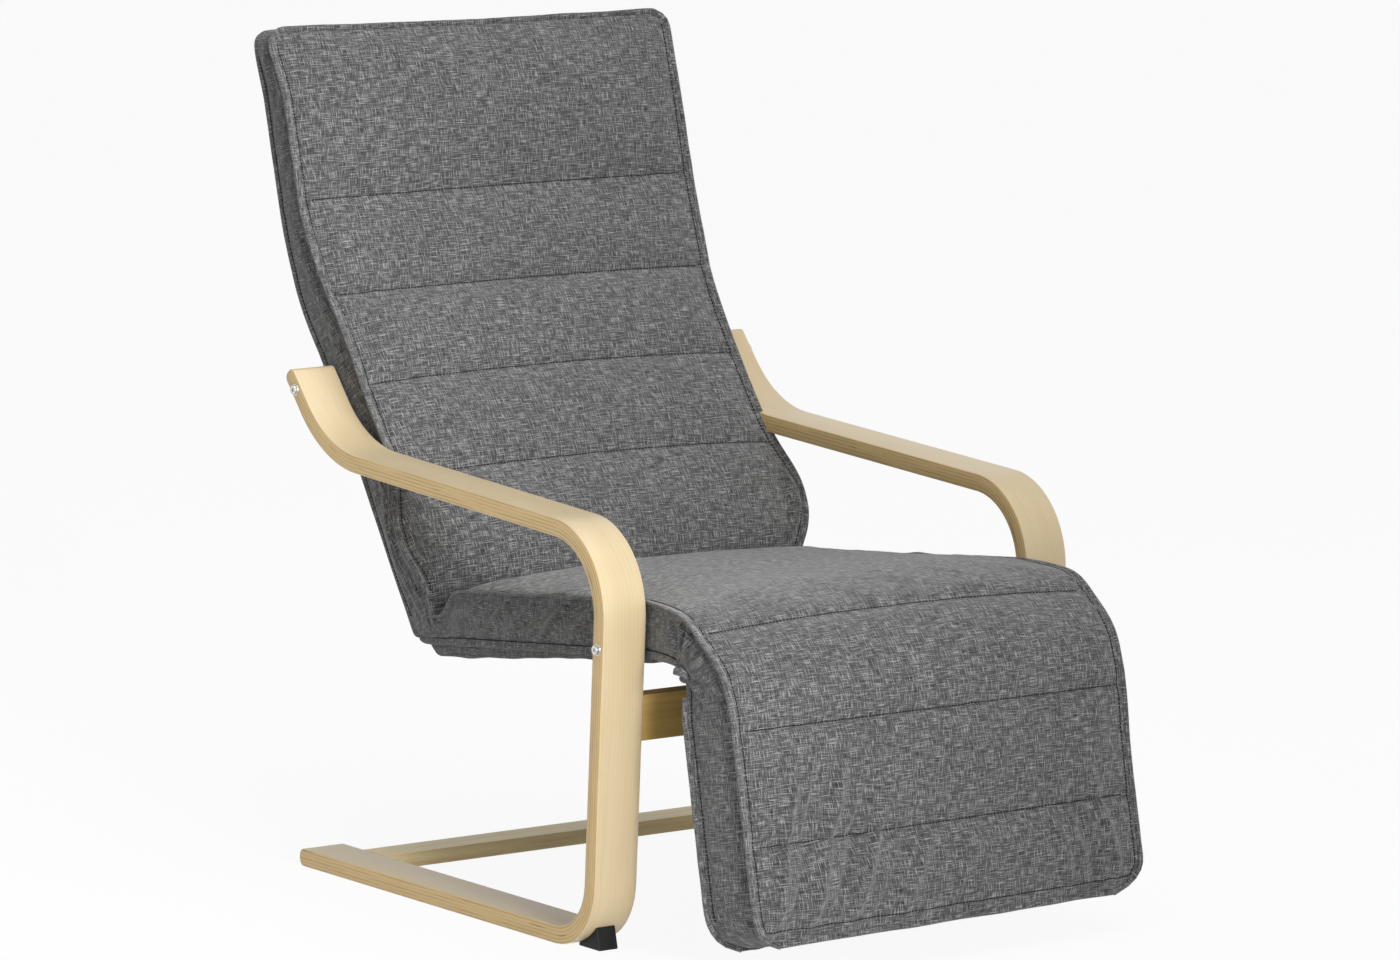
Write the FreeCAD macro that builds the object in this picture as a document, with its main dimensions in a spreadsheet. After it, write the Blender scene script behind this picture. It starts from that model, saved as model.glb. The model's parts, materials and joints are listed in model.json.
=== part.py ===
import FreeCAD, Part
import Sketcher
import math
import os
from types import SimpleNamespace

# A bentwood lounge chair with a padded leg rest that swings up on two friction hinges.
# Millimetres and degrees. +Z is up, the sitter looks towards -Y, and the sitter's right is -X.
# The origin lies on the floor under the middle of the chair.

SIZES = {
    # Side strips, each one bent length of laminated birch: horn, arm, leg and floor runner
    "overall_width": 656,
    "strip_width": 58,
    "strip_thickness": 21,
    "heel_forward": 266.5,
    "runner_length": 614,
    "leg_height": 476,
    "leg_rake": 30,
    "arm_length": 583,
    "arm_rise": 28.5,
    "horn_run": 78.5,
    "horn_rise": 91,
    "horn_bend_radius": 162,
    "arm_bend_radius": 93,
    "heel_bend_radius": 71,
    "strip_edge_round": 1.5,
    "strip_end_round": 7,
    # Cross members between the strips, and their dowels
    "stretcher_top": 296,
    "stretcher_height": 53,
    "stretcher_thickness": 20,
    "crossbar_depth": 47,
    "crossbar_thickness": 18,
    "crossbar_inset": 52,
    "dowel_diameter": 8,
    "dowel_length": 40,
    "dowel_spacing": 26,
    "dowel_clearance": 0.1,
    # Wedge feet under the heels
    "foot_width": 26,
    "foot_height": 27,
    "foot_toe": 4,
    "foot_forward": 6.5,
    "foot_gap": 0.2,
    "foot_screw_diameter": 4,
    "foot_screw_head": 7.5,
    "foot_screw_head_height": 2,
    "foot_screw_length": 30,
    "foot_screw_recess": 3,
    # Four bolts that carry the seat and the back
    "seat_bolt_height": 352,
    "horn_bolt_inset": 26,
    "bolt_diameter": 6,
    "bolt_clearance": 0.3,
    "bolt_head_diameter": 11,
    "bolt_head_height": 3.5,
    "bolt_socket": 4,
    "bolt_socket_depth": 2.2,
    "washer_diameter": 14,
    "washer_thickness": 1.2,
    "spacer_diameter": 13,
    "insert_diameter": 10,
    "insert_length": 16,
    "insert_fit": 0.05,
    # Inner frame: rails of the seat, back and leg rest, with slats let into them
    "side_gap": 5,
    "rail_gap": 1.5,
    "rail_thickness": 22,
    "rail_depth": 30,
    "stile_depth": 36,
    "butt_gap": 0.2,
    "stile_past_corner": 2.511,
    "back_lean": 33,
    "head_lean": 14.7,
    "lumbar_bend_radius": 200,
    "lumbar_above_bolt": 105,
    "head_length": 318,
    "lower_back_length": 327,
    "slat_width": 58,
    "slat_thickness": 10,
    "slat_tenon": 10,
    "slat_clearance": 0.15,
    "slat_room": 3,
    "seat_slat_count": 4,
    "back_slat_count": 5,
    "leg_slat_count": 2,
    "cross_rail_thickness": 20,
    "cross_rail_setback": 60,
    # Corner plates that join the seat rails to the back stiles
    "plate_thickness": 3,
    "corner_plate_width": 26,
    "corner_plate_reach": 70,
    "corner_plate_bend": 16,
    "wood_screw_diameter": 4,
    "wood_screw_head": 8,
    "wood_screw_head_height": 2.2,
    "wood_screw_length": 18,
    "wood_screw_pitch": 28,
    "wood_screw_clearance": 0.1,
    # Friction hinges of the leg rest
    "hinge_forward": 110,
    "hinge_drop": 24,
    "hinge_leaf_radius": 11,
    "hinge_seat_reach": 121,
    "hinge_leg_reach": 88,
    "hinge_side_gap": 0.3,
    "pivot_diameter": 8,
    "pivot_clearance": 0.05,
    "pivot_head_diameter": 16,
    "pivot_head_height": 4,
    "pivot_end": 1,
    "friction_washer_diameter": 20,
    "friction_washer_thickness": 1.5,
    "disc_spring_height": 2,
    "lock_nut_across": 13,
    "lock_nut_height": 6,
    "leg_hang": 11.5,
    "leg_length": 298,
    "leg_rail_start": 24,
    "leg_rail_end_gap": 24,
    # Padding and its sewn cover
    "cover_wall": 2.5,
    "cover_clearance": 0.5,
    "cover_rear": 9,
    "channel_pitch": 126,
    "channel_depth": 7,
    "channel_shoulder": 24,
    "head_pad": 24,
    "lumbar_pad": 40,
    "seat_end_pad": 54,
    "back_crown": 12,
    "head_flare": 8,
    "waist_tuck": 3,
    "end_round": 22,
    "crease_above_end": 32,
    "corner_pad": 11,
    "seat_pad": 38,
    "seat_crown": 7,
    "seat_back_gap": 3,
    "knee_radius": 59,
    "knee_gap": 1.5,
    "knee_lip": 3.5,
    "knee_run": 90,
    "knee_overlap_angle": 68,
    "hinge_slot_gap": 4,
    "hinge_slot_angle": 46,
    "knee_to_seam": 63,
    "leg_pad": 63,
    "leg_taper": 18,
    "leg_crown": 8,
    "leg_flare": 10,
}

os.makedirs("parts", exist_ok=True)
doc = FreeCAD.newDocument("lounge_chair")
sheet = doc.addObject("Spreadsheet::Sheet", "sizes")
for row, (alias, value) in enumerate(SIZES.items(), start=1):
    sheet.set(f"A{row}", alias)
    sheet.set(f"B{row}", str(value))
    sheet.setAlias(f"B{row}", alias)
doc.recompute()
size = SimpleNamespace(**{alias: float(sheet.get(alias)) for alias in SIZES})

RIGHT = -1
LEFT = 1
SIDES = {"right": RIGHT, "left": LEFT}
nodes = {}


# Points and directions in the side view, as (y, z) pairs; angles run from +Y towards +Z

def vec(x, point):
    return FreeCAD.Vector(x, point[0], point[1])


def ahead(point, angle, distance):
    turn = math.radians(angle)
    return (point[0] + distance * math.cos(turn), point[1] + distance * math.sin(turn))


def bearing(start, end):
    return math.degrees(math.atan2(end[1] - start[1], end[0] - start[0]))


def reach(origin, angle, point):
    """Distance of a point from an origin, measured along a direction."""
    turn = math.radians(angle)
    return (point[0] - origin[0]) * math.cos(turn) + (point[1] - origin[1]) * math.sin(turn)


def crossing(point_a, angle_a, point_b, angle_b):
    """Where two lines meet in the side view."""
    ua = (math.cos(math.radians(angle_a)), math.sin(math.radians(angle_a)))
    ub = (math.cos(math.radians(angle_b)), math.sin(math.radians(angle_b)))
    gap = (point_b[0] - point_a[0], point_b[1] - point_a[1])
    distance = (gap[0] * ub[1] - gap[1] * ub[0]) / (ua[0] * ub[1] - ua[1] * ub[0])
    return ahead(point_a, angle_a, distance)


def mix(start, end, share):
    return start + (end - start) * share


# Outlines in the side view

def rounded_outline(corners):
    """Closed outline through (point, radius) corners, with an arc at each rounded one."""
    edges = []
    starts = []
    for index, (point, radius) in enumerate(corners):
        before = corners[index - 1][0]
        after = corners[(index + 1) % len(corners)][0]
        to_before = bearing(point, before)
        to_after = bearing(point, after)
        half = math.radians((to_after - to_before) % 360) / 2
        half = min(half, math.pi - half)
        tangent = radius / math.tan(half)
        enter = ahead(point, to_before, tangent)
        leave = ahead(point, to_after, tangent)
        middle_way = math.atan2(
            math.sin(math.radians(to_before)) + math.sin(math.radians(to_after)),
            math.cos(math.radians(to_before)) + math.cos(math.radians(to_after)))
        nearest = ahead(point, math.degrees(middle_way), radius / math.sin(half) - radius)
        starts.append((enter, nearest, leave, radius))
    for index, (enter, nearest, leave, radius) in enumerate(starts):
        if radius > 0:
            edges.append(Part.Arc(vec(0, enter), vec(0, nearest), vec(0, leave)))
        edges.append(Part.LineSegment(vec(0, leave), vec(0, starts[(index + 1) % len(starts)][0])))
    return edges


def strip_outline(points, radii, thickness, end_round):
    """Outline of a strip of even thickness bent along a line of points."""
    count = len(points)
    sides = []
    for hand in (1, -1):
        run = []
        for index, point in enumerate(points):
            into = bearing(points[max(index - 1, 0)], points[max(index, 1)])
            out = bearing(points[min(index, count - 2)], points[min(index + 1, count - 1)])
            turn = (out - into + 180) % 360 - 180
            offset = thickness / 2 / math.cos(math.radians(turn / 2))
            corner = ahead(point, into + turn / 2 + hand * 90, offset)
            if index in (0, count - 1):
                radius = end_round
            else:
                inside = 1 if turn > 0 else -1
                radius = radii[index - 1] - inside * hand * thickness / 2
            run.append((corner, radius))
        sides.append(run)
    return rounded_outline(sides[0] + sides[1][::-1])


def bar_outline(start, end, radius):
    """Straight bar with round ends."""
    way = bearing(start, end)
    corners = [ahead(start, way + 90, radius), ahead(end, way + 90, radius),
               ahead(end, way - 90, radius), ahead(start, way - 90, radius)]
    return [Part.LineSegment(vec(0, corners[0]), vec(0, corners[1])),
            Part.Arc(vec(0, corners[1]), vec(0, ahead(end, way, radius)), vec(0, corners[2])),
            Part.LineSegment(vec(0, corners[2]), vec(0, corners[3])),
            Part.Arc(vec(0, corners[3]), vec(0, ahead(start, way, -radius)), vec(0, corners[0]))]


def board_outline(middle, way, length, depth):
    """Rectangle about a middle point, with its length along a direction."""
    ends = [ahead(middle, way, length / 2), ahead(middle, way, -length / 2)]
    corners = [ahead(ends[0], way + 90, depth / 2), ahead(ends[1], way + 90, depth / 2),
               ahead(ends[1], way - 90, depth / 2), ahead(ends[0], way - 90, depth / 2)]
    return rounded_outline([(corner, 0) for corner in corners])


# Objects of the document

def keep(label, item):
    item.Label = label
    nodes[label] = item
    return item


def padded_body(name, outline, length, x_start, edge_round=None):
    """Body padded along +X from an outline in the side view."""
    body = doc.addObject("PartDesign::Body", name)
    plane = next(part for part in body.Origin.OriginFeatures if part.Role == "YZ_Plane")
    sketch = body.newObject("Sketcher::SketchObject", name + "_outline")
    sketch.AttachmentSupport = [(plane, "")]
    sketch.MapMode = "FlatFace"
    for edge in outline:
        sketch.addGeometry(flat(edge), False)
    for index in range(len(outline)):
        following = (index + 1) % len(outline)
        tip, tail = touching_ends(sketch, index, following)
        sketch.addConstraint(Sketcher.Constraint("Coincident", index, tip, following, tail))
    pad = body.newObject("PartDesign::Pad", name + "_pad")
    pad.Profile = sketch
    pad.setExpression("Length", length)
    body.setExpression("Placement.Base.x", x_start)
    doc.recompute()
    if edge_round:
        rims = [f"Edge{number}" for number, edge in enumerate(pad.Shape.Edges, start=1)
                if abs(edge.Vertexes[0].X - edge.Vertexes[-1].X) < 1e-6]
        rounding = body.newObject("PartDesign::Fillet", name + "_rounding")
        rounding.Base = (pad, rims)
        rounding.setExpression("Radius", edge_round)
    return body


def touching_ends(sketch, first, second):
    """Which ends of two sketch edges meet: 1 is an edge's start and 2 its end."""
    pairs = [(tip, tail) for tip in (1, 2) for tail in (1, 2)]
    return min(pairs, key=lambda pair: sketch.getPoint(first, pair[0]).distanceToPoint(
        sketch.getPoint(second, pair[1])))


def flat(edge):
    """The same line or arc drawn in a sketch's own plane, run from its first point to its last."""
    def drop(point):
        return FreeCAD.Vector(point.y, point.z, 0)
    first = edge.value(edge.FirstParameter)
    last = edge.value(edge.LastParameter)
    if isinstance(edge, Part.LineSegment):
        return Part.LineSegment(drop(first), drop(last))
    middle = edge.value((edge.FirstParameter + edge.LastParameter) / 2)
    return Part.Arc(drop(first), drop(middle), drop(last))


def rod(name, side, x_outer, point, length, radius):
    """Round bar along X that starts at a distance from the middle plane and runs inwards."""
    item = doc.addObject("Part::Cylinder", name)
    item.setExpression("Height", length)
    item.setExpression("Radius", radius)
    spin = FreeCAD.Rotation(FreeCAD.Vector(0, 1, 0), -90 * side)
    item.Placement = FreeCAD.Placement(vec(side * x_outer, point), spin)
    return item


def group(name, members):
    item = doc.addObject("Part::Compound", name)
    item.Links = members
    return item


def less(name, base, tools):
    """A piece with holes or slots cut into it."""
    item = doc.addObject("Part::Cut", name)
    item.Base = base
    item.Tool = group(name + "_tools", tools)
    return item


def fused(name, members):
    item = doc.addObject("Part::MultiFuse", name)
    item.Shapes = members
    return item


def slab(name, station, along, depth, thickness, half_length):
    """Flat board across the chair, its face on a station of a padded panel."""
    point, normal = station
    item = doc.addObject("Part::Box", name)
    item.setExpression("Length", f"2 * ({half_length})")
    item.setExpression("Width", along)
    item.setExpression("Height", thickness)
    spin = FreeCAD.Rotation(FreeCAD.Vector(1, 0, 0), normal - 90)
    doc.recompute()
    corner = ahead(ahead(point, normal, depth), normal - 90, -item.Width.Value / 2)
    item.Placement = FreeCAD.Placement(vec(-item.Length.Value / 2, corner), spin)
    return item


def solid_feature(name, shape):
    item = doc.addObject("Part::Feature", name)
    item.Shape = shape
    item.Placement = FreeCAD.Placement()
    return item


# Lines of the chair in the side view

heel = (-size.heel_forward, size.strip_thickness / 2)
arm_front = (heel[0] - size.leg_rake, size.leg_height)
arm_back = (arm_front[0] + size.arm_length, arm_front[1] + size.arm_rise)
horn_end = (arm_back[0] + size.horn_run, arm_back[1] + size.horn_rise)
runner_end = (heel[0] + size.runner_length, heel[1])
leg_way = bearing(heel, arm_front)
horn_way = bearing(arm_back, horn_end)

seat_bolt = crossing(heel, leg_way, (0, size.seat_bolt_height), 0)
back_bolt = ahead(horn_end, horn_way, -size.horn_bolt_inset)

back_way = 90 - size.back_lean
head_way = 90 - size.head_lean
leg_rest_way = 270 - size.leg_hang
hinge = (seat_bolt[0] - size.hinge_forward, seat_bolt[1] - size.hinge_drop)

lumbar = ahead(back_bolt, back_way, size.lumbar_above_bolt)
back_top = ahead(lumbar, head_way, size.head_length)
back_bottom = ahead(back_bolt, back_way, -size.lower_back_length)
frame_corner = ahead(back_bottom, back_way, size.stile_past_corner)
seat_way = bearing(frame_corner, seat_bolt)

# Distances from the middle plane
inner_half = size.overall_width / 2 - size.strip_width
cover_half = inner_half - size.side_gap
rail_outer = cover_half - size.waist_tuck - size.cover_wall - size.cover_clearance
rail_inner = rail_outer - size.rail_thickness
leg_rail_inner = rail_inner - size.plate_thickness - size.hinge_side_gap
leg_rail_outer = leg_rail_inner + size.rail_thickness

HALF = "sizes.overall_width / 2"
INNER = f"({HALF} - sizes.strip_width)"
COVER_INSIDE = f"({INNER} - sizes.side_gap - sizes.waist_tuck - sizes.cover_wall)"
RAIL_OUTER = f"({COVER_INSIDE} - sizes.cover_clearance)"
RAIL_INNER = f"({RAIL_OUTER} - sizes.rail_thickness)"
LEG_RAIL_INNER = f"({RAIL_INNER} - sizes.plate_thickness - sizes.hinge_side_gap)"
LEG_RAIL_OUTER = f"({LEG_RAIL_INNER} + sizes.rail_thickness)"


def x_of(side, outer, width):
    """Left-hand face of a piece that lies between two distances from the middle plane."""
    return f"-{outer}" if side == RIGHT else f"{outer} - {width}"


# Stations of the three padded panels: a point on the frame's line and the way to the sitter

def seat_station(forward):
    return ahead(seat_bolt, seat_way, forward), seat_way - 90


def leg_station(down):
    return ahead(hinge, leg_rest_way, down), leg_rest_way - 90


def back_station(up):
    """Station at a distance along the back's line, measured up from its bend."""
    turn = size.back_lean - size.head_lean
    tangent = size.lumbar_bend_radius * math.tan(math.radians(turn / 2))
    if up >= tangent:
        return ahead(lumbar, head_way, up), head_way + 90
    if up <= -tangent:
        return ahead(lumbar, back_way, up), back_way + 90
    way = mix(back_way, head_way, (up + tangent) / (2 * tangent))
    centre = ahead(ahead(lumbar, back_way, -tangent), back_way + 90, size.lumbar_bend_radius)
    return ahead(centre, way - 90, size.lumbar_bend_radius), way + 90


def panel_section(station, half_width, front, rear, crown):
    """Cross-section of a padded panel: crowned towards the sitter, sides bowed by the filling."""
    point, normal = station
    bow = size.waist_tuck
    corner_front = ahead(point, normal, front - crown)
    corner_rear = ahead(point, normal, -rear)
    middle_side = ahead(point, normal, (front - crown - rear) / 2)
    crest = ahead(point, normal, front)
    edges = [
        Part.Arc(vec(-half_width, corner_front), vec(0, crest), vec(half_width, corner_front)),
        Part.Arc(vec(half_width, corner_front), vec(half_width + bow, middle_side),
                 vec(half_width, corner_rear)),
        Part.LineSegment(vec(half_width, corner_rear), vec(-half_width, corner_rear)),
        Part.Arc(vec(-half_width, corner_rear), vec(-half_width - bow, middle_side),
                 vec(-half_width, corner_front)),
    ]
    return Part.Wire([edge.toShape() for edge in edges])


def panel(rows):
    return Part.makeLoft([panel_section(*row) for row in rows], True, True)


def across(point, radius):
    """Round cutter across the whole chair."""
    half = size.overall_width / 2
    return Part.makeCylinder(radius, 2 * half, vec(-half, point), FreeCAD.Vector(1, 0, 0))


# Side strips, with the bolt, dowel and screw holes

stretcher_middle = crossing(
    heel, leg_way, (0, size.stretcher_top - size.stretcher_height / 2), 0)
crossbar_middle = (runner_end[0] - size.crossbar_inset - size.crossbar_depth / 2,
                   size.strip_thickness - size.crossbar_thickness / 2)
stretcher_dowel_points = [ahead(stretcher_middle, leg_way, shift * size.dowel_spacing / 2)
                          for shift in (-1, 1)]
crossbar_dowel_points = [(crossbar_middle[0] + shift * size.dowel_spacing / 2, crossbar_middle[1])
                         for shift in (-1, 1)]
dowel_outer = inner_half + size.dowel_length / 2
DOWEL_RADIUS = "sizes.dowel_diameter / 2"
DOWEL_BORE = "sizes.dowel_diameter / 2 + sizes.dowel_clearance"
DOWEL_HOLE_DEPTH = "sizes.dowel_length + 2 * sizes.dowel_clearance"
BOLT_RADIUS = "sizes.bolt_diameter / 2"
BOLT_BORE = "sizes.bolt_diameter / 2 + sizes.bolt_clearance"


def dowels(name, side, points, length, radius, spare=0.0):
    return [rod(f"{name}_{index}", side, dowel_outer + spare, point, length, radius)
            for index, point in enumerate(points)]


heel_turn = math.radians(leg_way / 2)
heel_centre = (heel[0] + size.heel_bend_radius / math.tan(heel_turn), heel[1] + size.heel_bend_radius)
heel_outer = size.heel_bend_radius + size.strip_thickness / 2
strip_middle = inner_half + size.strip_width / 2


def heel_y(height, radius):
    """How far forward the heel's curve stands at a height."""
    return heel_centre[0] - math.sqrt(radius ** 2 - (heel_centre[1] - height) ** 2)


foot_curve = heel_outer + size.foot_gap
foot_top = (heel_y(size.foot_height, foot_curve), size.foot_height)
foot_back = (heel_y(size.foot_toe, foot_curve), size.foot_toe)
foot_screw_y = (foot_top[0] + foot_back[0]) / 2


def foot_screw_rod(name, side, start, length, radius):
    """Upright round bar at a foot's screw."""
    item = doc.addObject("Part::Cylinder", name)
    item.setExpression("Height", length)
    item.setExpression("Radius", radius)
    item.Placement.Base = FreeCAD.Vector(side * strip_middle, foot_screw_y, start)
    return item


FOOT_SCREW_RADIUS = "sizes.foot_screw_diameter / 2"
for hand, side in SIDES.items():
    outline = strip_outline(
        [horn_end, arm_back, arm_front, heel, runner_end],
        [size.horn_bend_radius, size.arm_bend_radius, size.heel_bend_radius],
        size.strip_thickness, size.strip_end_round)
    strip = padded_body(f"strip_{hand}", outline, "sizes.strip_width",
                        x_of(side, f"({HALF})", "sizes.strip_width"), "sizes.strip_edge_round")
    holes = [rod(f"strip_bore_{hand}_{index}", side, size.overall_width / 2, point,
                 "sizes.strip_width", BOLT_BORE)
             for index, point in enumerate([seat_bolt, back_bolt])]
    holes += dowels(f"strip_dowel_{hand}", side, stretcher_dowel_points + crossbar_dowel_points,
                    DOWEL_HOLE_DEPTH, DOWEL_BORE, size.dowel_clearance)
    holes.append(foot_screw_rod(f"strip_pilot_{hand}", side, size.foot_screw_recess,
                                "sizes.foot_screw_length", FOOT_SCREW_RADIUS))
    keep(f"side_frame_{hand}", less(f"side_frame_{hand}", strip, holes))

# Cross members and the dowels that hold them

stretcher = padded_body(
    "stretcher",
    board_outline(stretcher_middle, leg_way, size.stretcher_height, size.stretcher_thickness),
    f"2 * {INNER}", f"-{INNER}")
crossbar = padded_body(
    "crossbar", board_outline(crossbar_middle, 0, size.crossbar_depth, size.crossbar_thickness),
    f"2 * {INNER}", f"-{INNER}")
for name, board, points in (("front_stretcher", stretcher, stretcher_dowel_points),
                            ("rear_crossbar", crossbar, crossbar_dowel_points)):
    bores = []
    pins = []
    for hand, side in SIDES.items():
        bores += dowels(f"{name}_bore_{hand}", side, points, DOWEL_HOLE_DEPTH, DOWEL_BORE,
                        size.dowel_clearance)
        pins += dowels(f"{name}_dowel_{hand}", side, points, "sizes.dowel_length", DOWEL_RADIUS)
    keep(name, less(name, board, bores))
    keep(f"{name}_dowels", group(f"{name}_dowels", pins))

# Wedge feet: black plastic, curved on top to sit under the heel, each with one screw

foot_screws = []
for hand, side in SIDES.items():
    low_front = (foot_top[0] - size.foot_forward, 0)
    low_back = (foot_back[0], 0)
    curve_middle = (heel_y((size.foot_height + size.foot_toe) / 2, foot_curve),
                    (size.foot_height + size.foot_toe) / 2)
    outline = [Part.LineSegment(vec(0, low_back), vec(0, low_front)),
               Part.LineSegment(vec(0, low_front), vec(0, foot_top)),
               Part.Arc(vec(0, foot_top), vec(0, curve_middle), vec(0, foot_back)),
               Part.LineSegment(vec(0, foot_back), vec(0, low_back))]
    start = f"{side} * ({INNER} + sizes.strip_width / 2) - sizes.foot_width / 2"
    wedge = padded_body(f"wedge_{hand}", outline, "sizes.foot_width", start)
    shank_hole = foot_screw_rod(f"wedge_bore_{hand}", side, 0, "sizes.foot_height", FOOT_SCREW_RADIUS)
    head_hole = foot_screw_rod(f"wedge_recess_{hand}", side, 0, "sizes.foot_screw_recess",
                               "sizes.foot_screw_head / 2 + sizes.wood_screw_clearance")
    keep(f"front_foot_{hand}", less(f"front_foot_{hand}", wedge, [shank_hole, head_hole]))
    shank = foot_screw_rod(f"foot_shank_{hand}", side, size.foot_screw_recess,
                           "sizes.foot_screw_length", FOOT_SCREW_RADIUS)
    head = foot_screw_rod(f"foot_head_{hand}", side, size.foot_screw_recess - size.foot_screw_head_height,
                          "sizes.foot_screw_head_height", "sizes.foot_screw_head / 2")
    foot_screws.append(fused(f"foot_screw_{hand}", [shank, head]))
keep("foot_screws", group("foot_screws", foot_screws))

# Bolts through the strips into threaded inserts in the inner frame

bolt_start = size.overall_width / 2 + size.washer_thickness
spacer_length = f"({INNER} - {RAIL_OUTER})"
bolt_reach = f"({HALF} + sizes.washer_thickness - {RAIL_OUTER} + sizes.insert_length)"
bolt_sets = {"seat_bolts": seat_bolt, "back_bolts": back_bolt}
washers = []
spacers = []
inserts = []
for name, point in bolt_sets.items():
    bolts = []
    for hand, side in SIDES.items():
        tag = f"{name}_{hand}"
        shank = rod(f"{tag}_shank", side, bolt_start, point, bolt_reach, BOLT_RADIUS)
        head = rod(f"{tag}_head", side, bolt_start + size.bolt_head_height, point,
                   "sizes.bolt_head_height", "sizes.bolt_head_diameter / 2")
        socket = doc.addObject("Part::Prism", f"{tag}_socket")
        socket.Polygon = 6
        socket.setExpression("Circumradius", "sizes.bolt_socket / sqrt(3)")
        socket.setExpression("Height", "sizes.bolt_socket_depth")
        socket.Placement = head.Placement
        bolts.append(less(tag, fused(f"{tag}_blank", [shank, head]), [socket]))
        disc = rod(f"{tag}_washer_disc", side, bolt_start, point, "sizes.washer_thickness",
                   "sizes.washer_diameter / 2")
        disc_hole = rod(f"{tag}_washer_hole", side, bolt_start, point, "sizes.washer_thickness", BOLT_BORE)
        washers.append(less(f"{tag}_washer", disc, [disc_hole]))
        sleeve = rod(f"{tag}_sleeve", side, inner_half, point, spacer_length, "sizes.spacer_diameter / 2")
        sleeve_hole = rod(f"{tag}_sleeve_hole", side, inner_half, point, spacer_length, BOLT_BORE)
        spacers.append(less(f"{tag}_spacer", sleeve, [sleeve_hole]))
        barrel = rod(f"{tag}_barrel", side, rail_outer, point, "sizes.insert_length",
                     "sizes.insert_diameter / 2")
        barrel_hole = rod(f"{tag}_thread", side, rail_outer, point, "sizes.insert_length",
                          "sizes.bolt_diameter / 2 + sizes.insert_fit")
        inserts.append(less(f"{tag}_insert", barrel, [barrel_hole]))
    keep(name, group(name, bolts))
keep("bolt_washers", group("bolt_washers", washers))
keep("bolt_spacers", group("bolt_spacers", spacers))
keep("threaded_inserts", group("threaded_inserts", inserts))
INSERT_BORE = "sizes.insert_diameter / 2 + sizes.insert_fit"

# Slats, let into the rails at both ends


def slat_row(name, stations, depth, half_length):
    """Group of slats with their front faces flush with the rails, and the slots that take them."""
    slats = []
    slots = []
    for index, station in enumerate(stations):
        slats.append(slab(f"{name}_{index}", station, "sizes.slat_width",
                          depth / 2 - size.slat_thickness, "sizes.slat_thickness",
                          f"{half_length} + sizes.slat_tenon"))
        slots.append(slab(f"{name}_slot_{index}", station, "sizes.slat_width + 2 * sizes.slat_clearance",
                          depth / 2 - size.slat_thickness - size.slat_clearance,
                          "sizes.slat_thickness + 2 * sizes.slat_clearance",
                          f"{half_length} + sizes.slat_tenon + sizes.slat_clearance"))
    keep(name, group(name, slats))
    return slots


def spread(first, last, count):
    return [mix(first, last, index / (count - 1)) for index in range(int(count))]


hinge_ahead = reach(seat_bolt, seat_way, hinge)
hinge_above = reach(seat_bolt, seat_way - 90, hinge)
seat_rail_front = hinge_ahead - size.knee_radius - size.knee_gap - size.cover_clearance
seat_rear = reach(seat_bolt, seat_way, frame_corner)
leg_rail_end = size.leg_length - size.leg_rail_end_gap
back_frame_end = -size.lumbar_above_bolt - size.lower_back_length
slat_start = size.slat_width / 2 + size.slat_room
rail_room = 2 * size.cross_rail_thickness + slat_start
seat_slots = slat_row("seat_slats", [seat_station(forward) for forward in spread(
    seat_rear + size.stile_depth + size.corner_plate_reach + slat_start,
    -size.cross_rail_setback - rail_room, size.seat_slat_count)], size.rail_depth, RAIL_INNER)
back_slots = slat_row("back_slats", [back_station(up) for up in spread(
    size.head_length - rail_room,
    back_frame_end + 2 * size.corner_plate_reach + slat_start, size.back_slat_count)],
    size.stile_depth, RAIL_INNER)
leg_slots = slat_row("leg_rest_slats", [leg_station(down) for down in spread(
    size.hinge_leg_reach + size.hinge_leaf_radius + slat_start,
    leg_rail_end - rail_room, size.leg_slat_count)], size.rail_depth, LEG_RAIL_INNER)

# Cross rails that keep each frame square, tenoned into the rails like the slats


def cross_rail(name, station, half_length):
    """Square rail across a frame, and the slot that takes its ends."""
    rear = (size.slat_thickness - size.rail_depth) / 2
    rail = slab(name, station, "sizes.cross_rail_thickness", rear,
                "sizes.rail_depth - sizes.slat_thickness", f"{half_length} + sizes.slat_tenon")
    slot = slab(f"{name}_slot", station, "sizes.cross_rail_thickness + 2 * sizes.slat_clearance",
                rear - size.slat_clearance,
                "sizes.rail_depth - sizes.slat_thickness + 2 * sizes.slat_clearance",
                f"{half_length} + sizes.slat_tenon + sizes.slat_clearance")
    keep(name, rail)
    return slot


seat_slots.append(cross_rail(
    "seat_front_rail", seat_station(-size.cross_rail_setback), RAIL_INNER))
back_slots.append(cross_rail(
    "back_top_rail", back_station(size.head_length - size.cross_rail_thickness), RAIL_INNER))
leg_slots.append(cross_rail(
    "leg_rest_end_rail", leg_station(leg_rail_end - size.cross_rail_thickness), LEG_RAIL_INNER))

# Screws of the corner plates and hinge leaves

outer_screw = size.corner_plate_reach - size.corner_plate_width / 2
corner_screw_places = (outer_screw, outer_screw - size.wood_screw_pitch)
corner_to_seat = [ahead(frame_corner, seat_way, place) for place in corner_screw_places]
corner_to_back = [ahead(frame_corner, back_way, place) for place in corner_screw_places]
leaf_seat_end = ahead(seat_bolt, seat_way, hinge_ahead - size.hinge_seat_reach)
leaf_leg_end = ahead(hinge, leg_rest_way, size.hinge_leg_reach)
leaf_seat_screws = [ahead(leaf_seat_end, seat_way, shift * size.wood_screw_pitch) for shift in (0, 1)]
leaf_leg_screws = [ahead(leaf_leg_end, leg_rest_way, -shift * size.wood_screw_pitch) for shift in (0, 1, 2)]
SCREW_BORE = "sizes.wood_screw_diameter / 2 + sizes.wood_screw_clearance"
screw_depth = size.wood_screw_length - size.plate_thickness


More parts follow.
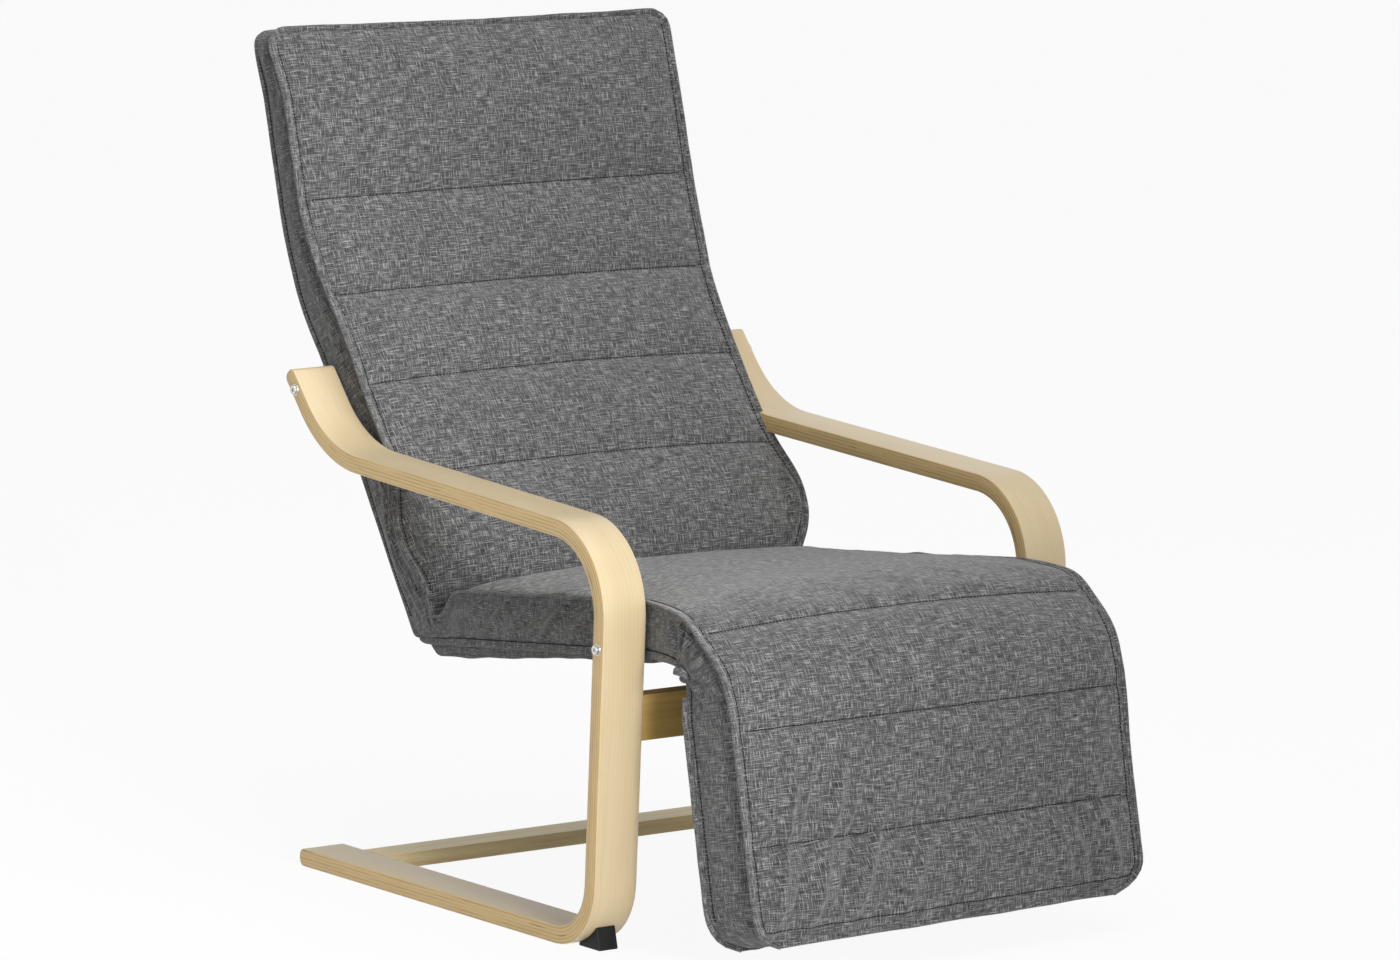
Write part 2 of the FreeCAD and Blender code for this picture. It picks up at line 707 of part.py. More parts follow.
def screw_holes(name, side, face, points):
    """Pilot holes bored outwards from a rail's inner face, through the plate on it."""
    return [rod(f"{name}_{index}", side, face + screw_depth + size.wood_screw_clearance, point,
                "sizes.wood_screw_length + 2 * sizes.wood_screw_clearance", SCREW_BORE)
            for index, point in enumerate(points)]


def screw_set(name, face, points):
    """Round-headed screws through a plate into a rail's inner face, on both sides of the chair."""
    screws = []
    for hand, side in SIDES.items():
        for index, point in enumerate(points):
            tag = f"{name}_{hand}_{index}"
            shank = rod(f"{tag}_shank", side, face + screw_depth, point, "sizes.wood_screw_length",
                        "sizes.wood_screw_diameter / 2")
            head = rod(f"{tag}_head", side, face - size.plate_thickness, point,
                       "sizes.wood_screw_head_height", "sizes.wood_screw_head / 2")
            screws.append(fused(tag, [shank, head]))
    keep(name, group(name, screws))


screw_set("corner_screws", rail_inner, corner_to_seat + corner_to_back)
screw_set("hinge_seat_screws", rail_inner, leaf_seat_screws)
screw_set("hinge_leg_screws", leg_rail_inner, leaf_leg_screws)

# Rails and stiles of the inner frame

stile_front = ahead(back_bolt, back_way + 90, size.stile_depth / 2 + size.butt_gap)
seat_rail_corners = []
for shift in (size.rail_depth / 2, -size.rail_depth / 2):
    edge_point = ahead(seat_bolt, seat_way - 90, shift)
    seat_rail_corners.append([ahead(edge_point, seat_way, seat_rail_front),
                              crossing(edge_point, seat_way, stile_front, back_way)])
seat_rail_loop = seat_rail_corners[0] + seat_rail_corners[1][::-1]
seat_rail_outline = rounded_outline([(point, 0) for point in seat_rail_loop])
stile_outline = strip_outline(
    [back_bottom, lumbar, back_top], [size.lumbar_bend_radius], size.stile_depth, 0)
leg_rail_outline = board_outline(
    ahead(hinge, leg_rest_way, (size.leg_rail_start + leg_rail_end) / 2), leg_rest_way,
    leg_rail_end - size.leg_rail_start, size.rail_depth)

for hand, side in SIDES.items():
    rail = padded_body(f"seat_board_{hand}", seat_rail_outline, "sizes.rail_thickness",
                       x_of(side, RAIL_OUTER, "sizes.rail_thickness"))
    insert_hole = rod(f"seat_board_{hand}_insert", side, rail_outer, seat_bolt,
                      "sizes.insert_length", INSERT_BORE)
    pilots = screw_holes(f"seat_board_{hand}_pilot", side, rail_inner, corner_to_seat + leaf_seat_screws)
    keep(f"seat_rail_{hand}", less(f"seat_rail_{hand}", rail, [insert_hole] + pilots + seat_slots))

    stile = padded_body(f"back_board_{hand}", stile_outline, "sizes.rail_thickness",
                        x_of(side, RAIL_OUTER, "sizes.rail_thickness"))
    insert_hole = rod(f"back_board_{hand}_insert", side, rail_outer, back_bolt,
                      "sizes.insert_length", INSERT_BORE)
    pilots = screw_holes(f"back_board_{hand}_pilot", side, rail_inner, corner_to_back)
    keep(f"back_stile_{hand}", less(f"back_stile_{hand}", stile, [insert_hole] + pilots + back_slots))

    rail = padded_body(f"leg_board_{hand}", leg_rail_outline, "sizes.rail_thickness",
                       x_of(side, LEG_RAIL_OUTER, "sizes.rail_thickness"))
    pilots = screw_holes(f"leg_board_{hand}_pilot", side, leg_rail_inner, leaf_leg_screws)
    keep(f"leg_rest_rail_{hand}", less(f"leg_rest_rail_{hand}", rail, pilots + leg_slots))

# Corner plates and hinge leaves, stamped from steel sheet

corner_outline = strip_outline(
    [ahead(frame_corner, seat_way, size.corner_plate_reach), frame_corner,
     ahead(frame_corner, back_way, size.corner_plate_reach)],
    [size.corner_plate_bend], size.corner_plate_width, 0)
leaf_bend = ahead(seat_bolt, seat_way, hinge_ahead - size.hinge_seat_reach / 2)
PIVOT_BORE = "sizes.pivot_diameter / 2 + sizes.pivot_clearance"
for hand, side in SIDES.items():
    plate = padded_body(f"corner_sheet_{hand}", corner_outline, "sizes.plate_thickness",
                        x_of(side, RAIL_INNER, "sizes.plate_thickness"))
    holes = screw_holes(f"corner_sheet_{hand}_hole", side, rail_inner, corner_to_seat + corner_to_back)
    keep(f"corner_plate_{hand}", less(f"corner_plate_{hand}", plate, holes))

    arm = padded_body(f"seat_leaf_arm_{hand}", bar_outline(hinge, leaf_bend, size.hinge_leaf_radius),
                      "sizes.plate_thickness", x_of(side, RAIL_INNER, "sizes.plate_thickness"))
    tail = padded_body(f"seat_leaf_tail_{hand}",
                       bar_outline(leaf_bend, leaf_seat_end, size.hinge_leaf_radius),
                       "sizes.plate_thickness", x_of(side, RAIL_INNER, "sizes.plate_thickness"))
    eye = rod(f"seat_leaf_eye_{hand}", side, rail_inner, hinge, "sizes.plate_thickness", PIVOT_BORE)
    holes = screw_holes(f"seat_leaf_hole_{hand}", side, rail_inner, leaf_seat_screws)
    keep(f"hinge_seat_leaf_{hand}",
         less(f"hinge_seat_leaf_{hand}", fused(f"seat_leaf_{hand}", [arm, tail]), [eye] + holes))

    leaf = padded_body(f"leg_leaf_{hand}", bar_outline(hinge, leaf_leg_end, size.hinge_leaf_radius),
                       "sizes.plate_thickness", x_of(side, LEG_RAIL_INNER, "sizes.plate_thickness"))
    eye = rod(f"leg_leaf_eye_{hand}", side, leg_rail_inner, hinge, "sizes.plate_thickness", PIVOT_BORE)
    holes = screw_holes(f"leg_leaf_hole_{hand}", side, leg_rail_inner, leaf_leg_screws)
    keep(f"hinge_leg_leaf_{hand}", less(f"hinge_leg_leaf_{hand}", leaf, [eye] + holes))

# Pivot of each hinge: headed pin, friction washer, disc spring and lock nut, clamped on the seat leaf

pivots = []
friction_washers = []
disc_springs = []
lock_nuts = []
leaf_face = leg_rail_inner - size.plate_thickness
washer_face = leaf_face - size.friction_washer_thickness
spring_face = washer_face - size.disc_spring_height
pin_length = ("2 * sizes.plate_thickness + sizes.hinge_side_gap + sizes.friction_washer_thickness"
              " + sizes.disc_spring_height + sizes.lock_nut_height + sizes.pivot_end")
for hand, side in SIDES.items():
    head = rod(f"pivot_head_{hand}", side, rail_inner + size.pivot_head_height, hinge,
               "sizes.pivot_head_height", "sizes.pivot_head_diameter / 2")
    pin = rod(f"pivot_pin_{hand}", side, rail_inner, hinge, pin_length, "sizes.pivot_diameter / 2")
    pivots.append(fused(f"pivot_{hand}", [head, pin]))
    disc = rod(f"friction_disc_{hand}", side, leaf_face, hinge, "sizes.friction_washer_thickness",
               "sizes.friction_washer_diameter / 2")
    disc_eye = rod(f"friction_eye_{hand}", side, leaf_face, hinge,
                   "sizes.friction_washer_thickness", PIVOT_BORE)
    friction_washers.append(less(f"friction_washer_{hand}", disc, [disc_eye]))
    cone = doc.addObject("Part::Cone", f"spring_cone_{hand}")
    cone.setExpression("Radius1", "sizes.friction_washer_diameter / 2")
    cone.setExpression("Radius2", "sizes.pivot_head_diameter / 2")
    cone.setExpression("Height", "sizes.disc_spring_height")
    cone.Placement = FreeCAD.Placement(vec(side * washer_face, hinge), disc.Placement.Rotation)
    spring_eye = rod(f"spring_eye_{hand}", side, washer_face, hinge, "sizes.disc_spring_height", PIVOT_BORE)
    disc_springs.append(less(f"disc_spring_{hand}", cone, [spring_eye]))
    blank = doc.addObject("Part::Prism", f"nut_blank_{hand}")
    blank.Polygon = 6
    blank.setExpression("Circumradius", "sizes.lock_nut_across / sqrt(3)")
    blank.setExpression("Height", "sizes.lock_nut_height")
    blank.Placement = FreeCAD.Placement(vec(side * spring_face, hinge), disc.Placement.Rotation)
    nut_eye = rod(f"nut_eye_{hand}", side, spring_face, hinge, "sizes.lock_nut_height", PIVOT_BORE)
    lock_nuts.append(less(f"lock_nut_{hand}", blank, [nut_eye]))
keep("hinge_pivots", group("hinge_pivots", pivots))
keep("friction_washers", group("friction_washers", friction_washers))
keep("disc_springs", group("disc_springs", disc_springs))
keep("hinge_lock_nuts", group("hinge_lock_nuts", lock_nuts))

# Padded panels: each is a row of cross-sections, which its cover, the cover's inside and its foam share

CAP_TURNS = (75, 50, 25)
SHOULDER_SHARE = 0.2
wall = size.cover_wall
overhang = 4 * size.cover_wall
stile_half = size.stile_depth / 2
rail_half = size.rail_depth / 2
spacer_bore = size.spacer_diameter / 2 + size.cover_clearance


def cap_rows(station_at, row, end, outward):
    """Rows that round off the end of a panel, from its full section outwards."""
    half, front, rear, crown = row
    middle = (front - rear) / 2
    thick = (front + rear) / 2
    rows = []
    for turn in CAP_TURNS:
        share = math.sin(math.radians(turn))
        step = size.end_round * math.cos(math.radians(turn))
        rows.append((station_at(end + outward * step), half - (1 - share) * size.end_round,
                     middle + thick * share, thick * share - middle, crown * share))
    return rows


def quilted(seams, start, end):
    """Distances along a panel where its sewn channels change shape, each with its share of the tuck."""
    marks = {start: 0, end: 0}
    for seam in seams:
        marks[seam] = 1
        marks[seam - size.channel_shoulder] = SHOULDER_SHARE
        marks[seam + size.channel_shoulder] = SHOULDER_SHARE
    for seam, following in zip(seams, seams[1:]):
        marks[(seam + following) / 2] = 0
    return sorted(marks.items())


# Back: thicker towards the seat, wider above the arms, drawn in between them

back_rear = stile_half + size.cover_rear
back_seams = [size.channel_pitch * count for count in (-2, -1, 0, 1)]


def back_pad(up):
    """Depth of padding in front of the stiles at a distance above the bend."""
    pitch = size.channel_pitch
    if up >= 0:
        return mix(size.lumbar_pad, size.head_pad, min(up / pitch, 1))
    return mix(size.lumbar_pad, size.seat_end_pad, min(max(-up / pitch - 1, 0), 1))


def back_half(up):
    share = min(max(up / size.channel_pitch, 0), 1)
    return cover_half - size.waist_tuck + size.head_flare * share


def back_row(up, tuck):
    front = stile_half + back_pad(up) - size.channel_depth * tuck
    return (back_station(up), back_half(up), front, back_rear, size.back_crown)


crease = back_frame_end + size.crease_above_end
crease_row = back_row(crease, 0)
corner_row = (back_station(back_frame_end), cover_half - size.waist_tuck, stile_half + size.corner_pad,
              back_rear, size.back_crown / 2)
back_body = [back_row(up, tuck)
             for up, tuck in quilted(back_seams, crease, size.head_length)]
back_cap = cap_rows(back_station, back_body[-1][1:], size.head_length, 1)
back_rows = [corner_row] + back_body + back_cap

# Seat: ends in a thin lip over the round knee of the leg rest

crease_point = ahead(crease_row[0][0], crease_row[0][1], crease_row[2])
seat_rear_end = reach(seat_bolt, seat_way, crease_point) + size.seat_back_gap
seat_top = rail_half + size.seat_pad
seat_bottom = rail_half + size.cover_wall + size.rail_gap
lip_top = hinge_above + size.knee_radius + size.knee_gap + size.knee_lip + size.seat_crown
seat_half = cover_half - size.waist_tuck
knee_start = hinge_ahead - size.knee_run


def seat_row(forward, top):
    return (seat_station(forward), seat_half, top, seat_bottom, size.seat_crown)


seat_body = [seat_row(seat_rear_end, seat_top - size.seat_crown / 2),
             seat_row(seat_rear_end + size.knee_run, seat_top),
             seat_row(knee_start, seat_top)]
seat_lip = []
for turn in (30, 60, 90):
    share = math.radians(turn)
    seat_lip.append(seat_row(knee_start + size.knee_run * math.sin(share),
                             lip_top + (seat_top - lip_top) * math.cos(share)))
seat_rows = seat_body + seat_lip

# Leg rest: round at the knee about the hinge line, thinner towards its foot

leg_top = rail_half + size.leg_pad
leg_rear = rail_half + size.cover_wall + size.rail_gap
leg_half = cover_half + size.leg_flare - size.waist_tuck
knee_top = -size.knee_radius * math.sin(math.radians(size.knee_overlap_angle))
leg_seams = [size.knee_to_seam, size.knee_to_seam + size.channel_pitch]
leg_full_end = size.leg_length - size.end_round


def leg_front(down):
    if down <= 0:
        return math.sqrt(size.knee_radius ** 2 - down ** 2)
    if down <= leg_seams[0]:
        return mix(size.knee_radius, leg_top, math.sin(math.pi / 2 * down / leg_seams[0]))
    share = max((down - leg_seams[1]) / (leg_full_end - leg_seams[1]), 0)
    return leg_top - size.leg_taper * share


def leg_row(down, tuck):
    front = leg_front(down) - size.channel_depth * tuck
    return (leg_station(down), leg_half, front, leg_rear, size.leg_crown)


leg_knee = [leg_row(knee_top * share, 0) for share in (1, 0.9, 0.7, 0.4)]
leg_body = [leg_row(down, tuck) for down, tuck in quilted(leg_seams, 0, leg_full_end)]
leg_cap = cap_rows(leg_station, leg_body[-1][1:], leg_full_end, 1)
leg_rows = leg_knee + leg_body + leg_cap

# Covers: sewn fabric sleeves, open where the frames run on, with holes for the bolt spacers


def cavity_rows(rows):
    return [(station, half - wall, front - wall, rear - wall, crown)
            for station, half, front, rear, crown in rows]


def moved(row, distance):
    """The same section, shifted along the panel towards the sitter's feet, or the head if negative."""
    (point, normal), *shape = row
    return ((ahead(point, normal + 90, distance), normal), *shape)


def across_block(corners, x_from, x_to):
    """Block with a four-sided outline in the side view."""
    ring = Part.makePolygon([vec(x_from, corner) for corner in corners + corners[:1]])
    return Part.Face(ring).extrude(FreeCAD.Vector(x_to - x_from, 0, 0))


inside = cavity_rows(back_rows)
inside[-1] = moved(inside[-1], wall)
inside.insert(0, moved(inside[0], overhang))
back_cover = panel(back_rows).cut(panel(inside)).cut(across(back_bolt, spacer_bore))
rail_way = []
for shift in (rail_half + size.rail_gap, -rail_half - size.rail_gap):
    edge_point = ahead(seat_bolt, seat_way - 90, shift)
    rail_way.append([ahead(edge_point, seat_way, seat_rear), ahead(edge_point, seat_way, seat_rear_end)])
rail_passage = [rail_way[0][0], rail_way[0][1], rail_way[1][1], rail_way[1][0]]
passage_inner = rail_inner - size.plate_thickness - size.wood_screw_head_height - size.rail_gap
passage_outer = rail_outer + size.rail_gap / 2
for x_from, x_to in ((-passage_outer, -passage_inner), (passage_inner, passage_outer)):
    back_cover = back_cover.cut(across_block(rail_passage, x_from, x_to))
keep("back_cover", solid_feature("back_cover", back_cover))

inside = cavity_rows(seat_rows)
inside.insert(0, moved(inside[0], -overhang))
inside.append(moved(inside[-1], overhang))
seat_cover = panel(seat_rows).cut(panel(inside)).cut(across(hinge, size.knee_radius + size.knee_gap))
keep("seat_cover", solid_feature("seat_cover", seat_cover.cut(across(seat_bolt, spacer_bore))))

inside = cavity_rows(leg_rows)
inside[-1] = moved(inside[-1], -wall)
inside.insert(0, moved(inside[0], -overhang))
above_knee = knee_top - overhang
hinge_front = size.hinge_leaf_radius + size.rail_gap
slot_end = -size.knee_radius * math.sin(math.radians(size.hinge_slot_angle))
slot_inner = rail_inner - size.plate_thickness - size.hinge_slot_gap
slot_outer = rail_inner + size.hinge_slot_gap


def leg_block(depth_from, depth_to, down_from, down_to, x_from, x_to):
    """Block set square to the leg rest, to cut openings into its cover."""
    corners = [(depth_from, down_from), (depth_to, down_from), (depth_to, down_to), (depth_from, down_to)]
    return across_block([ahead(ahead(hinge, leg_rest_way - 90, depth), leg_rest_way, down)
                         for depth, down in corners], x_from, x_to)


leg_cover = panel(leg_rows).cut(panel(inside))
leg_cover = leg_cover.cut(leg_block(-leg_rear - overhang, hinge_front, above_knee, size.leg_rail_start,
                                    -size.overall_width / 2, size.overall_width / 2))
for x_from, x_to in ((-slot_outer, -slot_inner), (slot_inner, slot_outer)):
    leg_cover = leg_cover.cut(leg_block(0, size.knee_radius, above_knee, slot_end, x_from, x_to))
keep("leg_rest_cover", solid_feature("leg_rest_cover", leg_cover))

# Foam pads between the frames and their covers


def foam(rows, rear_face):
    inset = wall + size.cover_clearance
    side_inset = inset + size.waist_tuck
    return panel([(station, half - side_inset, front - inset, -rear_face - size.butt_gap, crown)
                  for station, half, front, rear, crown in rows])


keep("back_foam", solid_feature("back_foam", foam(back_body, stile_half)))
keep("seat_foam", solid_feature("seat_foam", foam(seat_body, rail_half)))
keep("leg_rest_foam", solid_feature("leg_rest_foam", foam(leg_body, rail_half)))

# Every object has to be sound before anything is written

doc.recompute()
for item in doc.Objects:
    if "Invalid" in item.State or "Error" in item.State:
        raise RuntimeError(f"{item.Label} failed: {item.State}")
for label, item in nodes.items():
    if item.Shape.isNull() or not item.Shape.isValid():
        raise RuntimeError(f"{label} is not a sound shape")
    if not item.Shape.Solids:
        raise RuntimeError(f"{label} holds no solid")
for label, item in nodes.items():
    item.Shape.exportStep(f"parts/{label}.step")
    print(f"{label}: {len(item.Shape.Solids)} solids, {item.Shape.Volume / 1000:.1f} cm3")
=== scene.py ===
import json
import math
from collections import namedtuple

import bmesh
import bpy
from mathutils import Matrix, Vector, noise


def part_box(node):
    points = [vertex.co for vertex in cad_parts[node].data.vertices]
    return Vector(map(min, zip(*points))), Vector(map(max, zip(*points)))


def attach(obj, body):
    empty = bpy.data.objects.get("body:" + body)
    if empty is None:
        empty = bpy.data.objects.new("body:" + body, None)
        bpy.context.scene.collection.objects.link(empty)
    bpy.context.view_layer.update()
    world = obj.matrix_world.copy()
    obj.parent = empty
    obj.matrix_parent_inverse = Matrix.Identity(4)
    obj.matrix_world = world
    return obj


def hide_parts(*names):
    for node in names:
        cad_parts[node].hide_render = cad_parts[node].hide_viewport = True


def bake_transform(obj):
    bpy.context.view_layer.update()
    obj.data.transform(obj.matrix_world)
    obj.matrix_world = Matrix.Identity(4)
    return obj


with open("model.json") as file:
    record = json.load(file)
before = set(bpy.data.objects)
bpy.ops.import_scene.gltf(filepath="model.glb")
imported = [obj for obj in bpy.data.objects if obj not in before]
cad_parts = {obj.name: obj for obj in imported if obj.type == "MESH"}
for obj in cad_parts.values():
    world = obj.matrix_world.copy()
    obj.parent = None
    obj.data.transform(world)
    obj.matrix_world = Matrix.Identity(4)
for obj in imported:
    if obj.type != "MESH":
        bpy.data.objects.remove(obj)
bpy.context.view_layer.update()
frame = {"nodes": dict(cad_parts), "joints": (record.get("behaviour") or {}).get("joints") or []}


# Side frames: one strip of laminated birch on each side, bent into horn, arm, front leg and runner.
# Veneers are glued over a form, cut to width, sanded and lacquered, so the glue lines show on the edges.
strip_thickness = 0.021
strip_edge_round = 0.0015
strip_end_round = 0.007
strip_corners = [(0.365, 0.5955), (0.2865, 0.5045), (-0.2965, 0.476), (-0.2665, 0.0105), (0.3475, 0.0105)]
strip_bends = [0.162, 0.093, 0.071]
strip_step = 0.008
strip_ends = [0.0, 0.0005, 0.0015, 0.003, 0.005]
bend_step = 0.002
corner_steps = 3
veneer_pitch = 0.0021


def bent_path(corners, radii):
    """A fine line of straights joined by round bends."""
    corners = [Vector(corner) for corner in corners]
    path = [corners[0]]
    for before, corner, after, radius in zip(corners, corners[1:], corners[2:], radii):
        way_in = (corner - before).normalized()
        way_out = (after - corner).normalized()
        turn = math.atan2(way_in.cross(way_out), way_in.dot(way_out))
        start = corner - way_in * radius * math.tan(abs(turn) / 2)
        inward = Vector((-way_in.y, way_in.x)) * math.copysign(radius, turn)
        count = max(4, round(abs(turn) * radius / bend_step))
        for i in range(count + 1):
            c = math.cos(turn * i / count)
            s = math.sin(turn * i / count)
            path.append(start + inward - Vector((inward.x * c - inward.y * s, inward.x * s + inward.y * c)))
    return path + [corners[-1]]


def lengths(path):
    """Distance of each point of a line from its start."""
    run = [0.0]
    for a, b in zip(path, path[1:]):
        run.append(run[-1] + (b - a).length)
    return run


def sample(path, distances):
    """Points of a line at rising distances from its start."""
    run = lengths(path)
    found = []
    i = 0
    for distance in distances:
        while i < len(run) - 2 and run[i + 1] < distance:
            i += 1
        found.append(path[i].lerp(path[i + 1], (distance - run[i]) / (run[i + 1] - run[i])))
    return found


def spread(start, end, step):
    """Even values from start to end, about one step apart, both included."""
    count = max(1, round(abs(end - start) / step))
    return [start + (end - start) * i / count for i in range(count + 1)]


def new_mesh(name, points, faces, map_name, places):
    """A smooth mesh object with outward faces; places holds each face corner's place in the named map."""
    mesh = bpy.data.meshes.new(name)
    mesh.from_pydata(points, [], faces)
    mesh.uv_layers.new(name=map_name).data.foreach_set("uv", [n for place in places for n in place])
    shape = bmesh.new()
    shape.from_mesh(mesh)
    bmesh.ops.recalc_face_normals(shape, faces=shape.faces)
    shape.to_mesh(mesh)
    shape.free()
    mesh.polygons.foreach_set("use_smooth", [True] * len(mesh.polygons))
    made = bpy.data.objects.new(name, mesh)
    bpy.context.collection.objects.link(made)
    return made


def ring_faces(rings, count):
    """Faces of a tube through rings of points, closed at both ends."""
    faces = []
    for i in range(rings - 1):
        for k in range(count):
            after = (k + 1) % count
            faces.append((i * count + k, i * count + after, (i + 1) * count + after, (i + 1) * count + k))
    last = (rings - 1) * count
    return faces + [tuple(range(count)), tuple(range(last, last + count))]


def bent_strip(name, low, high):
    """The bent strip between two x values, with its length and depth in the map 'strip'."""
    path = bent_path(strip_corners, strip_bends)
    total = lengths(path)[-1]
    inner = spread(strip_end_round, total - strip_end_round, strip_step)
    run = strip_ends + inner + [total - d for d in reversed(strip_ends)]
    line = sample(path, run)
    points, offsets = [], []
    ring = 4 * (corner_steps + 1)
    for i, (spot, distance) in enumerate(zip(line, run)):
        way = (line[min(i + 1, len(line) - 1)] - line[max(i - 1, 0)]).normalized()
        across = Vector((-way.y, way.x))
        from_end = min(distance, total - distance, strip_end_round)
        depth = strip_thickness / 2 - strip_end_round
        depth += math.sqrt(strip_end_round ** 2 - (strip_end_round - from_end) ** 2)
        for corner, (side, front) in enumerate(((1, 1), (-1, 1), (-1, -1), (1, -1))):
            for step in range(corner_steps + 1):
                angle = math.pi / 2 * (corner + step / corner_steps)
                x = (low + high) / 2 + side * ((high - low) / 2 - strip_edge_round)
                x += strip_edge_round * math.cos(angle)
                off = front * (depth - strip_edge_round) + strip_edge_round * math.sin(angle)
                points.append((x, spot.x + across.x * off, spot.y + across.y * off))
                offsets.append(off)
    faces = ring_faces(len(line), ring)
    places = [(run[corner // ring], offsets[corner]) for face in faces for corner in face]
    return new_mesh(name, points, faces, "strip", places)


def look(name, roughness):
    """A new node material, its node tree and its shader."""
    material = bpy.data.materials.new(name)
    material.use_nodes = True
    shader = material.node_tree.nodes["Principled BSDF"]
    shader.inputs["Roughness"].default_value = roughness
    return material, material.node_tree, shader


def add(tree, kind, inputs, **settings):
    """A node with its settings and inputs; an input is a value or another node's socket."""
    made = tree.nodes.new(kind)
    for key, value in settings.items():
        setattr(made, key, value)
    for key, value in inputs.items():
        if isinstance(value, bpy.types.NodeSocket):
            tree.links.new(value, made.inputs[key])
        else:
            made.inputs[key].default_value = value
    return made


def calc(tree, operation, *values):
    """One step of arithmetic on numbers or sockets."""
    return add(tree, "ShaderNodeMath", dict(enumerate(values)), operation=operation).outputs[0]


def on_piece(tree):
    """Places on a piece, in its own metres."""
    return add(tree, "ShaderNodeTexCoord", {}).outputs["Object"]


def parts_of(tree, vector):
    """The three parts of a vector."""
    return add(tree, "ShaderNodeSeparateXYZ", {0: vector}).outputs


def on_map(tree, name):
    """Places in a named map, as two parts."""
    place = add(tree, "ShaderNodeUVMap", {}, uv_map=name)
    return parts_of(tree, place.outputs[0])[:2]


def share_of(tree, value, low, high, most=1.0):
    """0 where a value is at low, most where it is at high, and even between."""
    limits = {"Value": value, "From Min": low, "From Max": high, "To Max": most}
    return add(tree, "ShaderNodeMapRange", limits).outputs[0]


def ramp(tree, value, *stops):
    """Colour by value, from (place, colour) pairs."""
    made = add(tree, "ShaderNodeValToRGB", {0: value})
    while len(made.color_ramp.elements) < len(stops):
        made.color_ramp.elements.new(0.5)
    for element, (place, colour) in zip(made.color_ramp.elements, stops):
        element.position = place
        element.color = (*colour, 1.0)
    return made.outputs[0]


def paint(tree, shader, value, *stops):
    """Colours a shader by value, from (place, colour) pairs."""
    tree.links.new(ramp(tree, value, *stops), shader.inputs["Base Color"])


def blend_colours(tree, share, first, second, how="MIX"):
    """Two colours mixed by a share."""
    made = add(tree, "ShaderNodeMix", {0: share, 6: first, 7: second}, data_type="RGBA", blend_type=how)
    return made.outputs[2]


def speckle(tree, spot, scale, detail):
    """Noise that is the same in all directions."""
    return add(tree, "ShaderNodeTexNoise", {"Vector": spot, "Scale": scale, "Detail": detail}).outputs[0]


def streaks(tree, along, across, third, long_scale, cross_scale, detail=3.0):
    """Noise drawn out along one direction."""
    spot = add(tree, "ShaderNodeCombineXYZ", {
        0: calc(tree, "MULTIPLY", along, long_scale),
        1: calc(tree, "MULTIPLY", across, cross_scale),
        2: third,
    })
    return speckle(tree, spot.outputs[0], 1.0, detail)


def roughen(tree, shader, height, strength, distance):
    """Fine relief on a shader from a height."""
    bump = add(tree, "ShaderNodeBump", {"Height": height, "Strength": strength, "Distance": distance})
    tree.links.new(bump.outputs[0], shader.inputs["Normal"])


def laminated_birch():
    """Clear-lacquered birch veneer: quiet grain on the faces, glue lines on the edges."""
    material, tree, shader = look("laminated_birch", 0.38)
    run, depth = on_map(tree, "strip")
    width = parts_of(tree, on_piece(tree))[0]
    facing = parts_of(tree, add(tree, "ShaderNodeNewGeometry", {}).outputs["Normal"])[0]
    edge = calc(tree, "GREATER_THAN", calc(tree, "ABSOLUTE", facing), 0.75)
    wander = streaks(tree, run, width, 0.3, 5.0, 9.0)
    bent_width = calc(tree, "MULTIPLY_ADD", wander, 0.02, width)
    grain = streaks(tree, run, bent_width, 0.0, 2.5, 420.0, 4.0)
    flame = streaks(tree, run, bent_width, 4.0, 8.0, 26.0, 3.0)
    face = ramp(tree, grain, (0.30, (0.575, 0.458, 0.276)), (0.52, (0.598, 0.482, 0.298)),
                (0.75, (0.615, 0.500, 0.318)))
    figure = share_of(tree, flame, 0.45, 0.75, 0.35)
    face = blend_colours(tree, figure, face, (0.88, 0.80, 0.68, 1.0), "MULTIPLY")
    drift = streaks(tree, run, depth, 7.0, 9.0, 60.0)
    layer = calc(tree, "MULTIPLY_ADD", drift, 0.5, calc(tree, "DIVIDE", depth, veneer_pitch))
    glue = calc(tree, "PINGPONG", layer, 1.0)
    layers = ramp(tree, glue, (0.0, (0.30, 0.18, 0.07)), (0.18, (0.62, 0.435, 0.185)),
                  (0.6, (0.78, 0.57, 0.27)))
    uneven = streaks(tree, run, depth, 12.0, 11.0, 420.0, 2.0)
    layers = blend_colours(tree, share_of(tree, uneven, 0.42, 0.60), layers, (0.74, 0.53, 0.245, 1.0))
    short = streaks(tree, run, depth, 2.0, 90.0, 700.0)
    layers = blend_colours(tree, calc(tree, "MULTIPLY", short, 0.35), layers, (0.46, 0.31, 0.13, 1.0))
    gap = share_of(tree, streaks(tree, run, depth, 21.0, 12.0, 330.0, 1.0), 0.71, 0.75)
    layers = blend_colours(tree, gap, layers, (0.13, 0.075, 0.03, 1.0))
    tree.links.new(blend_colours(tree, edge, face, layers), shader.inputs["Base Color"])
    tree.links.new(calc(tree, "MULTIPLY_ADD", grain, 0.22, 0.28), shader.inputs["Roughness"])
    roughen(tree, shader, grain, 0.12, 0.0004)
    return material


birch_strip = laminated_birch()
for side_name in ("right", "left"):
    corner_low, corner_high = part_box(f"side_frame_{side_name}")
    strip = bent_strip(f"bent_strip_{side_name}", corner_low.x, corner_high.x)
    strip.data.materials.append(birch_strip)
    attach(strip, "chair")
    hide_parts(f"side_frame_{side_name}")


# Cross members: a board between the front legs and a flat bar between the runners, both of solid birch.
# They are planed and dowelled to them end on; the board is painted darker than the strips as painted shade
# under the seat, the bar paler as painted light on its top.
board_edge_round = 0.0018


